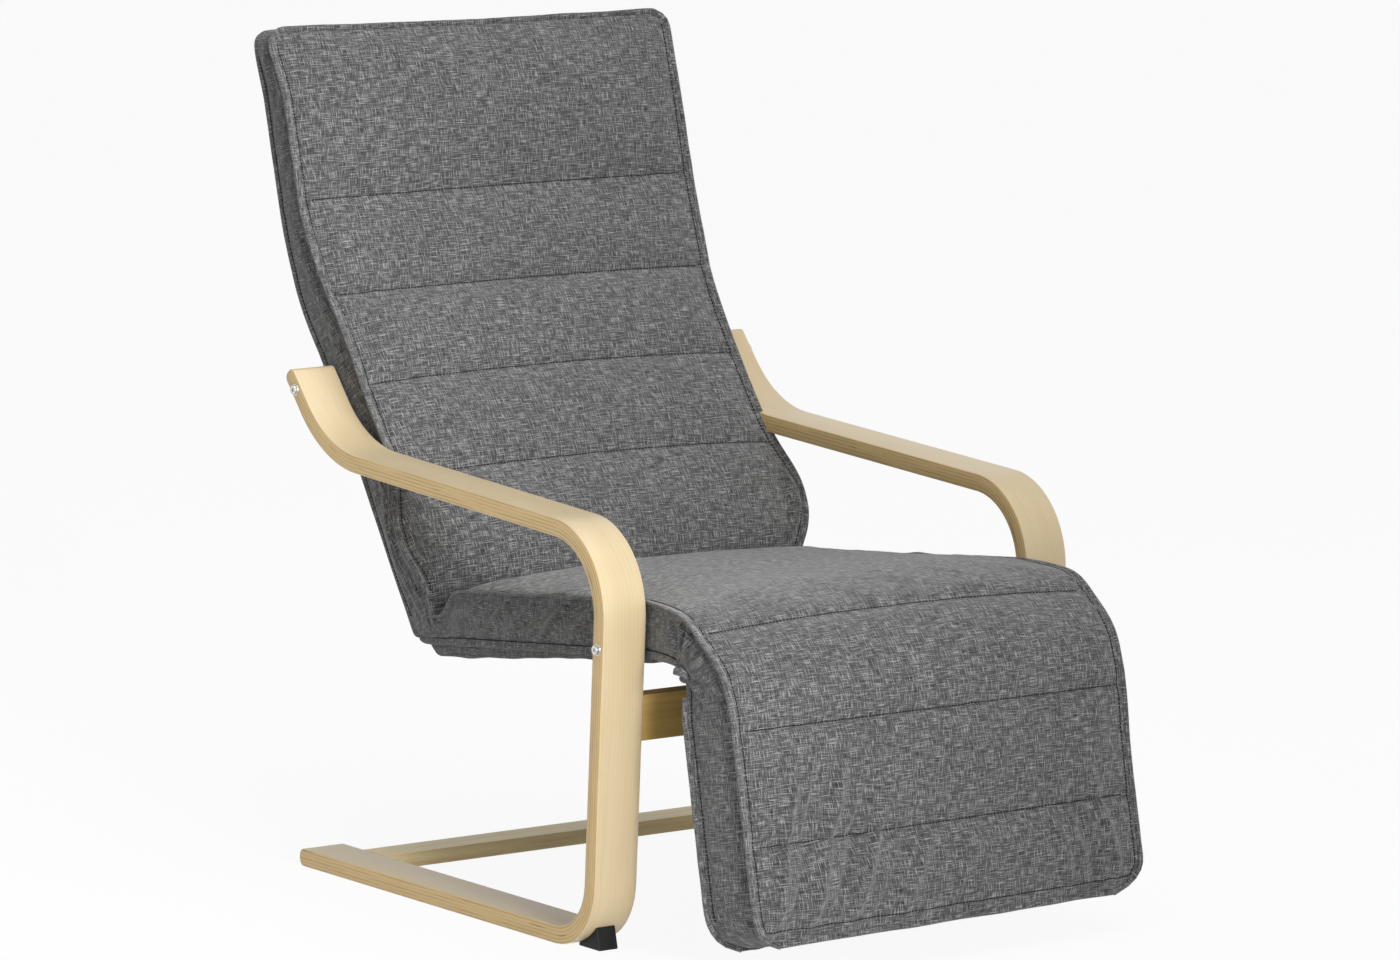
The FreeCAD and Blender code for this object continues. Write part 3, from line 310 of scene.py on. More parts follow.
def solid_wood(name, light, dark, roughness):
    """Planed wood with its grain along x."""
    material, tree, shader = look(name, roughness)
    x, y, z = parts_of(tree, on_piece(tree))
    across = calc(tree, "MULTIPLY_ADD", z, 0.8, y)
    grain = streaks(tree, x, across, 1.5, 4.0, 190.0, 4.0)
    pores = streaks(tree, x, across, 8.0, 45.0, 900.0, 2.0)
    tone = calc(tree, "MULTIPLY_ADD", grain, 0.75, calc(tree, "MULTIPLY", pores, 0.25))
    paint(tree, shader, tone, (0.35, dark), (0.62, light))
    roughen(tree, shader, tone, 0.2, 0.0004)
    return material


def soften(node, width):
    """Small rounds on a CAD node's edges."""
    node.modifiers.new("joined", "WELD").merge_threshold = 0.00002
    bevel = node.modifiers.new("edges", "BEVEL")
    bevel.width = width
    bevel.segments = 2
    bevel.limit_method = "ANGLE"
    bevel.angle_limit = math.radians(35)


def finish_node(name, material, edge_round=0.0):
    """Gives a CAD node its material and, where it shows, softened edges."""
    node = frame["nodes"][name]
    node.data.materials.clear()
    node.data.materials.append(material)
    if edge_round:
        soften(node, edge_round)


# The board's birch is painted darker, standing in for the shade under the seat.
shade_painted_birch = solid_wood("shade_painted_birch", (0.64, 0.42, 0.13), (0.50, 0.32, 0.095), 0.45)
finish_node("front_stretcher", shade_painted_birch, board_edge_round)
# The bar's birch is painted paler than the strips, standing in for the strong light on its top.
light_painted_birch = solid_wood("light_painted_birch", (0.92, 0.76, 0.43), (0.74, 0.57, 0.28), 0.45)
finish_node("rear_crossbar", light_painted_birch, board_edge_round)
plain_birch = solid_wood("plain_birch", (0.72, 0.57, 0.36), (0.60, 0.45, 0.26), 0.55)
for node_name in ("front_stretcher_dowels", "rear_crossbar_dowels"):
    finish_node(node_name, plain_birch)


# Feet: moulded black plastic wedges under the heels, each held by one screw from below.
# The mould leaves a fine matt texture and slightly rounded edges.
foot_edge_round = 0.0012


def moulded_plastic():
    """Matt black plastic with a fine moulded texture."""
    material, tree, shader = look("moulded_plastic", 0.55)
    shader.inputs["Specular IOR Level"].default_value = 0.3
    spot = on_piece(tree)
    fine = speckle(tree, spot, 1400.0, 2.0)
    wear = speckle(tree, spot, 60.0, 3.0)
    paint(tree, shader, wear, (0.35, (0.002, 0.002, 0.002)), (0.7, (0.006, 0.006, 0.006)))
    tree.links.new(calc(tree, "MULTIPLY_ADD", wear, 0.25, 0.4), shader.inputs["Roughness"])
    roughen(tree, shader, fine, 0.25, 0.0003)
    return material


black_plastic = moulded_plastic()
for node_name in ("front_foot_right", "front_foot_left"):
    finish_node(node_name, black_plastic, foot_edge_round)


# Bolts and sleeves: zinc-plated hex-socket bolts through the strips, with washers, spacers and inserts.
# The plating is bright with a faint cloudy cast; screws and inserts inside are the same.
bolt_edge_round = 0.0004


def zinc_plate():
    """Bright zinc plating with a faint cloudy cast."""
    material, tree, shader = look("zinc_plate", 0.25)
    shader.inputs["Metallic"].default_value = 1.0
    cloud = speckle(tree, on_piece(tree), 260.0, 4.0)
    paint(tree, shader, cloud, (0.3, (0.56, 0.56, 0.56)), (0.7, (0.74, 0.74, 0.73)))
    tree.links.new(calc(tree, "MULTIPLY_ADD", cloud, 0.2, 0.14), shader.inputs["Roughness"])
    roughen(tree, shader, cloud, 0.05, 0.0002)
    return material


zinc = zinc_plate()
for node_name in ("seat_bolts", "back_bolts", "bolt_washers", "bolt_spacers"):
    finish_node(node_name, zinc, bolt_edge_round)
for node_name in ("foot_screws", "threaded_inserts"):
    finish_node(node_name, zinc)


# Inner frames: birch rails and slats in seat, back and leg rest, steel corner plates and friction hinges.
# They are screwed together and wholly covered by the padding.
def sheet_steel(name, light, dark, roughness):
    """Steel sheet with fine rolling marks along y."""
    material, tree, shader = look(name, roughness)
    shader.inputs["Metallic"].default_value = 0.9
    x, y, z = parts_of(tree, on_piece(tree))
    marks = streaks(tree, y, z, x, 30.0, 1500.0, 2.0)
    paint(tree, shader, marks, (0.3, dark), (0.7, light))
    roughen(tree, shader, marks, 0.1, 0.0002)
    return material


def pressed_lining():
    """Pressed friction lining, dark with small flecks."""
    material, tree, shader = look("pressed_lining", 0.8)
    flecks = add(tree, "ShaderNodeTexVoronoi", {"Vector": on_piece(tree), "Scale": 900.0}).outputs[0]
    paint(tree, shader, flecks, (0.1, (0.12, 0.09, 0.06)), (0.6, (0.05, 0.04, 0.035)))
    roughen(tree, shader, flecks, 0.3, 0.0003)
    return material


plate_steel = sheet_steel("plate_steel", (0.42, 0.42, 0.43), (0.30, 0.30, 0.31), 0.4)
lining = pressed_lining()
inner_fixings = ("corner_screws", "hinge_seat_screws", "hinge_leg_screws", "hinge_pivots", "hinge_lock_nuts")
for node_name in frame["nodes"]:
    if "rail" in node_name or "slats" in node_name or "stile" in node_name:
        finish_node(node_name, plain_birch)
    elif "corner_plate" in node_name or "leaf" in node_name or node_name == "disc_springs":
        finish_node(node_name, plate_steel)
    elif node_name in inner_fixings:
        finish_node(node_name, zinc)
    elif node_name == "friction_washers":
        finish_node(node_name, lining)


# Back cushion: a boxed cover of heathered grey cloth over foam, sewn through in four lines across the back.
# Its front, side, top and rear panels meet in a flat sewn welt, and air and foam push them out.
back_bolt = (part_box("back_bolts")[0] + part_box("back_bolts")[1]) / 2
back_low_way = math.radians(57.0)
back_high_way = math.radians(75.3)
bolt_to_bend = 0.105
back_bend_radius = 0.200
back_bottom = -0.432
back_crease = -0.400
back_seams = [-0.252, -0.126, 0.0, 0.126]
back_top = 0.329
back_corner_round = 0.018
back_heel_round = 0.010
back_top_taper = 0.011
back_rear_lift = 0.009
back_top_flare = 0.005
back_slump = 0.010
back_press = 0.008
back_lean = 0.0035
back_ear = 0.005
back_front_foot = 0.026
back_front_low, back_front_middle, back_front_head = 0.053, 0.046, 0.031
back_half_depth = 0.035
back_foot_reach = 0.035
back_rear, back_rear_taper, back_rear_narrower = 0.027, 0.002, 0.002
back_taper_reach = 0.085
back_half_low, back_half_head = 0.2635, 0.2805
back_widens = (-0.09, 0.12)
back_flares = (back_top - 0.075, back_top - 0.012)
back_side_swell = 0.025
back_swells, back_swell_ends = (-0.42, -0.34), (-0.33, -0.22)
back_crown_low, back_crown_head = 0.017, 0.011
back_crown_falls = (-0.2, 0.1)
back_lip = (back_top - 0.025, back_top)
back_lift_reach = 0.035
back_slumps, back_slump_ends, back_slump_depth = (-0.40, -0.24), (-0.14, 0.08), (-0.02, 0.03)
back_leans = (-0.11, 0.0)
back_ear_reach = 0.07
cloth_step = 0.007
seam_depth = 0.0046
seam_reach = 0.0048
seam_side = 0.0022
pucker_depth = 0.0015
topstitch_inset = 0.0065
hem_inset = 0.0095
topstitch_depth = 0.0020
thread_lift = 0.0004
stitch_gap = 0.005
fold_run_out = 0.2
stitch_column = 2
stitch_margin = 0.003
seam_ends, side_ends = 3, 4
weave_pitch = 0.0013
flange_reach = 0.0060
flange_thickness = 0.0032
flange_pitch = 0.004
panel_angle = math.radians(40)
settling_frames = 20
rear_map, side_maps, end_maps, flange_map = 0.7, (1.3, 1.7), (2.1, 2.5), 3.0

Row = namedtuple("Row", "front rear half rear_half crown seam run")


def way(angle):
    """Unit step in the side view, from +y towards +z."""
    return Vector((math.cos(angle), math.sin(angle)))


def ease(value, low, high):
    """0 below low, 1 above high and smooth between."""
    share = min(1.0, max(0.0, (value - low) / (high - low)))
    return share * share * (3 - 2 * share)


def back_place(up):
    """Middle of the back at a height along it from its bend, and the direction there."""
    bend = Vector((back_bolt.y, back_bolt.z)) + way(back_low_way) * bolt_to_bend
    turn = back_high_way - back_low_way
    reach = back_bend_radius * math.tan(turn / 2)
    if up <= -reach:
        return bend + way(back_low_way) * up, back_low_way
    if up >= reach:
        return bend + way(back_high_way) * up, back_high_way
    angle = back_low_way + turn * (up + reach) / (2 * reach)
    centre = bend - way(back_low_way) * reach + way(back_low_way + math.pi / 2) * back_bend_radius
    return centre - way(angle + math.pi / 2) * back_bend_radius, angle


def seam_pull(place, seams):
    """How far the cloth is drawn in at a place, 1 on a seam."""
    return max(math.exp(-((place - seam) / seam_reach) ** 2) for seam in seams)


def back_row(up):
    """The back's section at one height."""
    middle, angle = back_place(up)
    out = way(angle + math.pi / 2)
    front = back_front_low + (back_front_middle - back_front_low) * ease(up, *back_seams[:2])
    front += (back_front_head - back_front_middle) * ease(up, *back_seams[2:])
    front -= (back_front_low - back_front_foot) * ease(-up, -back_crease - back_foot_reach, -back_bottom)
    taper = ease(up, back_top - back_taper_reach, back_top)
    front -= back_top_taper * taper
    rear = back_rear - back_rear_taper * taper
    under = max(0.0, back_bottom + back_heel_round - up)
    rear -= back_heel_round - math.sqrt(max(0.0, back_heel_round ** 2 - under ** 2))
    half = back_half_low + (back_half_head - back_half_low) * ease(up, *back_widens)
    half += back_top_flare * ease(up, *back_flares)
    swell = back_side_swell * ease(up, *back_swells) * (1 - ease(up, *back_swell_ends))
    over = max(0.0, up - (back_top - back_corner_round))
    half -= back_corner_round - math.sqrt(max(0.0, back_corner_round ** 2 - over ** 2))
    crown = back_crown_low + (back_crown_head - back_crown_low) * ease(up, *back_crown_falls)
    crown += 0.8 * back_top_taper * taper * (1 - ease(up, *back_lip))
    crown *= 1 - 0.6 * ease(up, *back_lip)
    lift = way(angle) * back_rear_lift * ease(up, back_top - back_lift_reach, back_top)
    return Row(middle + out * front, middle - out * rear + lift, half + swell, half - back_rear_narrower,
               crown, seam_pull(up, back_seams), up)


def row_places(stops, seams):
    """Rows between stops, with a close pair beside each seam."""
    places = []
    for low, high in zip(stops, stops[1:]):
        start = low + seam_side if low in seams else low
        end = high - seam_side if high in seams else high
        places += [low] if low in seams else []
        places += spread(start, end, cloth_step)[: None if high in seams else -1]
    return places + [stops[-1]]


def edge_columns(half, step, stitched):
    """Places across a panel as (share, inset) pairs, with a line for the stitches beside each edge."""
    inner = spread(-1.0, 1.0, step / half)
    left = [(-1.0, 0.0), (-1.0, stitched * 0.5), (-1.0, stitched)]
    right = [(1.0, inset) for _, inset in reversed(left)]
    return left + [(share, stitched + stitch_gap) for share in inner] + right


def boxed_cover(name, rows, half, half_depth, hollow=0.0):
    """A closed boxed cover through the rows, mapped in 'weave', and its front, rear and side grids."""
    columns = edge_columns(half, cloth_step, topstitch_inset)
    depths = edge_columns(half_depth, cloth_step, hem_inset)
    points, numbers, faces, places = [], {}, [], []

    def number(spot):
        key = tuple(round(n, 5) for n in spot)
        if key not in numbers:
            numbers[key] = len(points)
            points.append(spot)
        return numbers[key]

    def front_spot(row, column):
        share, inset = column
        x = share * (row.half - inset)
        edge = abs(x) / row.half
        sewn = row.seam * (1 - ease(edge, 0.955, 0.995))
        rise = row.crown * (1 - edge ** 2.4) - seam_depth * sewn
        rise += pucker_depth * math.sqrt(sewn) * noise.noise((x * 60, row.run * 16, 4.0))
        rise -= topstitch_depth if inset == topstitch_inset else 0.0
        spot = row.front + (row.front - row.rear).normalized() * rise
        return (x, spot.x, spot.y)

    def rear_spot(row, column):
        share, inset = column
        return (share * (row.rear_half - inset), row.rear.x, row.rear.y)

    def patch(spots, place):
        grid = [[number(spot) for spot in line] for line in spots]
        for i in range(len(grid) - 1):
            for j in range(len(grid[0]) - 1):
                corners = [(i, j), (i, j + 1), (i + 1, j + 1), (i + 1, j)]
                face = [grid[a][b] for a, b in corners]
                if len(set(face)) < 3:
                    continue
                kept = [n for n in range(4) if face.index(face[n]) == n]
                faces.append([face[n] for n in kept])
                places.extend(place(*corners[n]) for n in kept)
        return grid

    def between(row, column, depth):
        back, face = Vector(rear_spot(row, column)), Vector(front_spot(row, column))
        share, inset = depth
        thick = (face - back).length
        place = (share * (thick / 2 - min(inset, thick / 4)) + thick / 2) / thick
        spot = back.lerp(face, place)
        if abs(column[0]) == 1.0 and column[1] == 0.0:
            spot.x -= math.copysign(topstitch_depth, spot.x) if inset == hem_inset else 0.0
        return spot, place

    front = patch([[front_spot(row, column) for column in columns] for row in rows],
                  lambda i, j: (front_spot(rows[i], columns[j])[0], rows[i].run))
    rear = patch([[rear_spot(row, column) for column in columns] for row in rows],
                 lambda i, j: (rear_spot(rows[i], columns[j])[0] + rear_map, rows[i].run))
    sides = []
    for column, shift in zip((columns[0], columns[-1]), side_maps):
        spots = [[tuple(between(row, column, depth)[0]) for depth in depths] for row in rows]
        sides.append(patch(spots, lambda i, j: (
            shift + between(rows[i], column, depths[j])[1] * half_depth * 2, rows[i].run)))
    for row, inward, shift in zip((rows[0], rows[-1]), (0.0, hollow), end_maps):
        draw = (rows[-2].front - rows[-1].front).normalized() * inward

        def end_spot(column, depth):
            spot, place = between(row, column, depth)
            pull = 4 * place * (1 - place) * (1 - abs(spot.x / row.half) ** 8)
            return (spot.x, spot.y + draw.x * pull, spot.z + draw.y * pull)

        patch([[end_spot(column, depth) for depth in depths] for column in columns],
              lambda i, j: (front_spot(row, columns[i])[0],
                            shift + between(row, columns[i], depths[j])[1] * half_depth * 2))
    return new_mesh(name, points, faces, "weave", places), front, rear, sides


def sharp_edges(cover, least):
    """Numbers of the vertices on edges where two panels meet at more than an angle."""
    shape = bmesh.new()
    shape.from_mesh(cover.data)
    found = set()
    for edge in shape.edges:
        if len(edge.link_faces) == 2 and edge.calc_face_angle() > least:
            found.update(v.index for v in edge.verts)
    shape.free()
    return found


def puff(cover, sewn, pressure, slack, most):
    """Lets the cloth swell over its filling: sewn points hold, and no point moves more than most."""
    group = cover.vertex_groups.new(name="sewn")
    group.add(sorted(sewn), 1.0, "REPLACE")
    cloth = cover.modifiers.new("cloth", "CLOTH")
    rules = cloth.settings
    rules.quality = 5
    rules.mass = 0.25
    rules.tension_stiffness = 12.0
    rules.compression_stiffness = 12.0
    rules.shear_stiffness = 4.0
    rules.bending_stiffness = 0.35
    rules.use_pressure = True
    rules.uniform_pressure_force = pressure
    rules.shrink_min = -slack
    rules.vertex_group_mass = "sewn"
    rules.effector_weights.gravity = 0.0
    cloth.collision_settings.use_collision = False
    cloth.point_cache.frame_start = 1
    cloth.point_cache.frame_end = settling_frames
    for moment in range(1, settling_frames + 1):
        bpy.context.scene.frame_set(moment)
    settled = cover.evaluated_get(bpy.context.evaluated_depsgraph_get()).data
    moved = [v.co.copy() for v in settled.vertices]
    cover.modifiers.remove(cloth)
    cover.vertex_groups.remove(group)
    bpy.context.scene.frame_set(1)
    for vertex, spot in zip(cover.data.vertices, moved):
        step = spot - vertex.co
        if step.length > 0:
            step *= most * math.tanh(step.length / most) / step.length
        vertex.co += step


def ruffle(cover, held, depth, scale, seed):
    """Small uneven waves of worn cloth, along the surface's normals."""
    mesh = cover.data
    steps = []
    for vertex in mesh.vertices:
        spot = vertex.co * scale + Vector((seed, 0, 0))
        wave = noise.noise(spot) + 0.5 * noise.noise(spot * 2.3)
        steps.append(vertex.normal * (0.0 if vertex.index in held else depth * wave))
    for vertex, step in zip(mesh.vertices, steps):
        vertex.co += step


def fold(cover, held, lines):
    """Presses soft folds into the cloth along lines of (start, end, width, height)."""
    mesh = cover.data
    steps = [0.0] * len(mesh.vertices)
    for start, end, width, height in lines:
        span = end - start
        for vertex in mesh.vertices:
            share = (vertex.co - start).dot(span) / span.length_squared
            if -fold_run_out < share < 1 + fold_run_out and vertex.index not in held:
                away = vertex.co - start - span * share
                side = (away - vertex.normal * away.dot(vertex.normal)).length / width
                if side < 3 and away.length < 0.03 + 3 * width:
                    fade = ease(share, -fold_run_out, 0.25) * (1 - ease(share, 0.7, 1 + fold_run_out))
                    steps[vertex.index] += height * fade * (1 - 1.2 * side ** 2) * math.exp(-side ** 2)
    normals = [vertex.normal.copy() for vertex in mesh.vertices]
    for vertex, normal, step in zip(mesh.vertices, normals, steps):
        vertex.co += normal * step


def finer(cover, held):
    """Cuts each cell of a cover in four, rounded off; returns the held points with those between them."""
    count = len(cover.data.vertices)
    soft = cover.modifiers.new("soft", "SUBSURF")
    soft.levels = 1
    soft.render_levels = 1
    coarse = cover.data
    cover.data = bpy.data.meshes.new_from_object(cover.evaluated_get(bpy.context.evaluated_depsgraph_get()))
    cover.modifiers.remove(soft)
    bpy.data.meshes.remove(coarse)
    cover.data.name = cover.name
    near = {}
    for edge in cover.data.edges:
        low, high = sorted(edge.vertices)
        if low < count <= high:
            near.setdefault(high, []).append(low)
    return held | {n for n, ends in near.items() if len(ends) == 2 and held.issuperset(ends)}


def heathered_cloth(name, worn_and_shaded_run=None):
    """Heathered grey cloth: light and dark yarns both ways, slubs and a plain weave, grainier where worn;
    painted shade darkens the side panels, on a seat cover only where worn.
    """
    material, tree, shader = look(name, 0.9)
    shader.inputs["Sheen Weight"].default_value = 0.34
    shader.inputs["Sheen Roughness"].default_value = 0.5
    shader.inputs["Specular IOR Level"].default_value = 0.25
    u, v = on_map(tree, "weave")
    long_slubs = streaks(tree, v, u, 0.0, 95.0, 1050.0, 0.0)
    cross_slubs = streaks(tree, u, v, 5.0, 70.0, 1150.0, 0.0)
    long_yarn = streaks(tree, v, u, 11.0, 60.0, 1000.0, 0.0)
    cross_yarn = streaks(tree, u, v, 17.0, 45.0, 1000.0, 0.0)
    bars = streaks(tree, u, v, 29.0, 34.0, 330.0, 1.0)
    cloud = streaks(tree, v, u, 23.0, 9.0, 14.0, 2.0)
    hatch = calc(tree, "MAXIMUM", long_slubs, cross_slubs)
    yarn = calc(tree, "ADD", long_yarn, cross_yarn)
    tone = calc(tree, "MULTIPLY_ADD", hatch, 1.55, calc(tree, "MULTIPLY", yarn, 0.50))
    patchy = calc(tree, "MULTIPLY_ADD", bars, 0.18, calc(tree, "MULTIPLY", cloud, 0.10))
    tone = calc(tree, "ADD", calc(tree, "SUBTRACT", tone, 1.00), patchy)
    # Painted shade: the side panels, at 1.3 and 1.7 in the map, are painted darker, standing in for the
    # shade that falls on them.
    painted_side_shade = calc(tree, "LESS_THAN", calc(tree, "ABSOLUTE", calc(tree, "SUBTRACT", u, 1.55)), 0.3)
    if worn_and_shaded_run is not None:
        grain = calc(tree, "SUBTRACT", streaks(tree, u, v, 41.0, 95.0, 165.0, 1.0), 0.5)
        worn = share_of(tree, v, worn_and_shaded_run + 0.05, worn_and_shaded_run - 0.05)
        on_top = calc(tree, "LESS_THAN", calc(tree, "ABSOLUTE", u), 0.4)
        grain = calc(tree, "MULTIPLY", grain, calc(tree, "MULTIPLY", on_top, 1.5))
        tone = calc(tree, "MULTIPLY_ADD", grain, worn, tone)
        # On a worn cover the painted side shade is kept to the worn part.
        painted_side_shade = calc(tree, "MULTIPLY", painted_side_shade, worn)
    tone = calc(tree, "MULTIPLY_ADD", painted_side_shade, -0.06, tone)
    paint(tree, shader, tone, (0.14, (0.022, 0.022, 0.022)), (0.42, (0.072, 0.072, 0.072)),
          (0.58, (0.112, 0.112, 0.1115)), (0.86, (0.31, 0.31, 0.308)))
    tree.links.new(calc(tree, "MULTIPLY_ADD", tone, -0.3, 1.05), shader.inputs["Roughness"])
    warp = calc(tree, "SINE", calc(tree, "MULTIPLY", u, 2 * math.pi / weave_pitch))
    weft = calc(tree, "SINE", calc(tree, "MULTIPLY", v, 2 * math.pi / weave_pitch))
    threads = calc(tree, "MULTIPLY", calc(tree, "MULTIPLY", warp, weft), 0.5)
    height = calc(tree, "MULTIPLY_ADD", threads, 0.4, calc(tree, "MULTIPLY", tone, 1.6))
    roughen(tree, shader, height, 0.45, 0.0007)
    return material


def ring_places(run, count, pitch):
    """Places in the map 'weave' for the faces of a tube, by its run and the width of its sides."""
    places = []
    for start, end in zip(run, run[1:]):
        for k in range(count):
            low, high = flange_map + pitch * k, flange_map + pitch * (k + 1)
            places += [(low, start), (high, start), (high, end), (low, end)]
    return places + [(flange_map, 0.0)] * (2 * count)


def flange(name, edge, normals):
    """The flat welt that stands out along a cover's edge, away from its middle, mapped in 'weave'."""
    run = lengths(edge)
    middle = sum(edge, Vector()) / len(edge)
    reach = flange_reach
    section = [(-0.0015, -0.9), (reach - 0.002, -1.0), (reach - 0.0006, -0.75), (reach, 0.0),
               (reach - 0.0006, 0.75), (reach - 0.002, 1.0), (-0.0015, 0.9)]
    spots = []
    for i, (spot, normal) in enumerate(zip(edge, normals)):
        ahead = (edge[min(i + 2, len(edge) - 1)] - edge[max(i - 2, 0)]).normalized()
        out = ahead.cross(normal).normalized()
        if out.dot(spot - middle) < 0:
            out = -out
        wave = noise.noise((run[i] * 30, 0.0, 5.0)) * 0.0007
        width = 1 + 0.14 * noise.noise((run[i] * 17, 2.0, 9.0))
        for a, b in section:
            spots.append(spot + out * a * width + normal * (b * flange_thickness / 2 + wave * a / reach))
    faces = ring_faces(len(edge), len(section))
    return new_mesh(name, spots, faces, "weave", ring_places(run, len(section), flange_pitch))


def stitches(name, lines, pitch=0.0046, size=0.0041, radius=0.0008):
    """Rows of short threads along lines of points."""
    spots, faces, places = [], [], []
    for line in lines:
        line = [Vector(p) for p in line]
        total = lengths(line)[-1]
        starts = spread(stitch_margin, total - stitch_margin - size, pitch)
        heads = sample(line, starts)
        tails = sample(line, [s + size for s in starts])
        for head, tail in zip(heads, tails):
            ahead = (tail - head).normalized()
            across = ahead.orthogonal().normalized() * radius
            third = ahead.cross(across)
            first = len(spots)
            spots += [head, *(head.lerp(tail, 0.2) + a for a in (across, third, -across, -third)),
                      *(head.lerp(tail, 0.8) + a for a in (across, third, -across, -third)), tail]
            for k in range(4):
                after = (k + 1) % 4
                faces.append((first, first + 1 + after, first + 1 + k))
                faces.append((first + 1 + k, first + 1 + after, first + 5 + after, first + 5 + k))
                faces.append((first + 5 + k, first + 5 + after, first + 9))
                places += [(0.0, 0.0)] * 10
    return new_mesh(name, spots, faces, "weave", places)


def spun_thread():
    """Dark grey sewing thread with a fine twist."""
    material, tree, shader = look("sewing_thread", 0.95)
    shader.inputs["Specular IOR Level"].default_value = 0.1
    twist = speckle(tree, on_piece(tree), 2500.0, 1.0)
    paint(tree, shader, twist, (0.35, (0.012, 0.012, 0.012)), (0.65, (0.04, 0.04, 0.04)))
    roughen(tree, shader, twist, 0.3, 0.0003)
    return material


grey_cloth = heathered_cloth("heathered_cloth")
grey_thread = spun_thread()
back_stops = [back_bottom, back_crease, *back_seams, back_top - back_corner_round, back_top]
back_ups = row_places(back_stops, back_seams)
back_rows = [back_row(up) for up in back_ups]
back_cushion, back_grid, _, back_sides = boxed_cover("back_cushion", back_rows,
                                                     back_half_low, back_half_depth)
back_sewn = sharp_edges(back_cushion, panel_angle)
back_seam_lines = [back_grid[back_ups.index(seam)] for seam in back_seams]
back_sewn.update(n for line in back_seam_lines for n in line)
puff(back_cushion, back_sewn, pressure=0.5, slack=0.004, most=0.010)
ruffle(back_cushion, back_sewn, depth=0.0012, scale=14.0, seed=3.0)


def back_local(spot):
    """Height along the back from its bend and distance in front of its middle, of a point."""
    step = Vector((spot.y, spot.z)) - back_place(0.0)[0]
    angle = back_high_way if step.dot(way(back_high_way)) > 0 else back_low_way
    return step.dot(way(angle)), step.dot(way(angle + math.pi / 2))


for vertex in back_cushion.data.vertices:
    up, off = back_local(vertex.co)
    left = max(0.0, vertex.co.x / back_half_head)
    right = max(0.0, -vertex.co.x / back_half_head)
    slump = ease(up, *back_slumps) * (1 - ease(up, *back_slump_ends))
    slump *= ease(off, *back_slump_depth) * left ** 2
    vertex.co.x += back_lean * left * ease(up, *back_leans) + back_press * slump
    vertex.co.y -= back_slump * slump
    vertex.co.z += back_ear * right * ease(up, back_top - back_ear_reach, back_top)


def back_side_spot(side, up, behind):
    """A point on the back's side panel, a distance behind its front edge."""
    row = back_row(up)
    spot = row.front + (row.rear - row.front).normalized() * behind
    return Vector((side * row.half, spot.x, spot.y))


back_side_folds = [
    ((-0.25, 0.016), (-0.415, 0.012), 0.006, 0.0040),
    ((-0.20, 0.030), (-0.410, 0.026), 0.008, 0.0028),
    ((0.10, 0.030), (-0.10, 0.034), 0.012, 0.0022),
    ((0.31, 0.020), (0.24, 0.040), 0.008, 0.0028),
]
back_folds = []
for side in (-1, 1):
    for start, end, width, height in back_side_folds:
        back_folds.append((back_side_spot(side, *start), back_side_spot(side, *end), width, height))
fold(back_cushion, finer(back_cushion, back_sewn), back_folds)
back_cushion.data.materials.append(grey_cloth)
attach(back_cushion, "chair")
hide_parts("back_cover", "back_foam")


def edge_loop(grid, rows, cover, first, inset):
    """Points round three edges of a cover's front, from a first row, and the way each faces."""
    columns = [(i, inset) for i in range(first, len(grid) - inset)]
    across = [(len(grid) - 1 - inset, j) for j in range(inset + 1, len(grid[0]) - 1 - inset)]
    other = [(i, len(grid[0]) - 1 - inset) for i, _ in reversed(columns)]
    points, normals = [], []
    for i, j in columns + across + other:
        facing = (rows[i].front - rows[i].rear).normalized()
        points.append(cover.data.vertices[grid[i][j]].co.copy())
        normals.append(Vector((0.0, facing.x, facing.y)))
    return points, normals


def seam_line(cover, numbers):
    """Points of a row of stitches, just above the cloth."""
    points = cover.data.vertices
    return [points[n].co + points[n].normal * thread_lift for n in numbers]


def side_line(cover, grid):
    """Points of the row of stitches along a side panel's rear or lower hem."""
    return seam_line(cover, [line[stitch_column] for line in grid[side_ends:-side_ends]])


def topstitch_line(points, normals):
    """Points of a row of stitches along an edge, just above the cloth."""
    return [spot + facing * thread_lift for spot, facing in zip(points, normals)]


first_row = back_ups.index(back_stops[1])
back_edge, back_facing = edge_loop(back_grid, back_rows, back_cushion, first_row, 0)
back_flange = flange("back_flange", back_edge, back_facing)
back_flange.data.materials.append(grey_cloth)
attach(back_flange, "chair")

back_topstitch = topstitch_line(*edge_loop(back_grid, back_rows, back_cushion, first_row, stitch_column))
stitched_rows = len(back_grid) - first_row - stitch_column
back_lines = [back_topstitch[:stitched_rows], back_topstitch[-stitched_rows:]]
back_lines += [seam_line(back_cushion, line[seam_ends:-seam_ends]) for line in back_seam_lines]
back_lines += [side_line(back_cushion, grid) for grid in back_sides]
back_threads = stitches("back_threads", back_lines)
back_threads.data.materials.append(grey_thread)
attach(back_threads, "chair")


# Seat and leg rest: one boxed cover runs over the seat, round the knee and down the leg rest.
# It bends at the knee, is sewn across there and twice on the leg rest, and has rounded lower corners.
seat_bolt = (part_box("seat_bolts")[0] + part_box("seat_bolts")[1]) / 2
hinge = Vector(frame["joints"][0]["pos_m"])
seat_way = math.radians(174.0)
leg_way = math.radians(258.5)
seat_rear_reach = -0.478
seat_crease_reach = -0.425
seat_straight = 0.010
seat_top, seat_below = 0.050, 0.016
leg_front, leg_rear = 0.067, 0.020
leg_start, leg_end = 0.048, 0.2975
leg_seams = [0.063, 0.189]
leg_corner_round = 0.036
leg_heel_round = 0.034
seat_half, leg_half = 0.2630, 0.2705
leg_rear_wider = 0.006
seat_crown, knee_crown, leg_crown = 0.010, 0.015, 0.008
seat_wave = 0.0028
seat_tuck, seat_tuck_reach, seat_tuck_narrower = 0.031, 0.045, 0.0015
seat_lift, seat_lift_reach = 0.004, 0.010
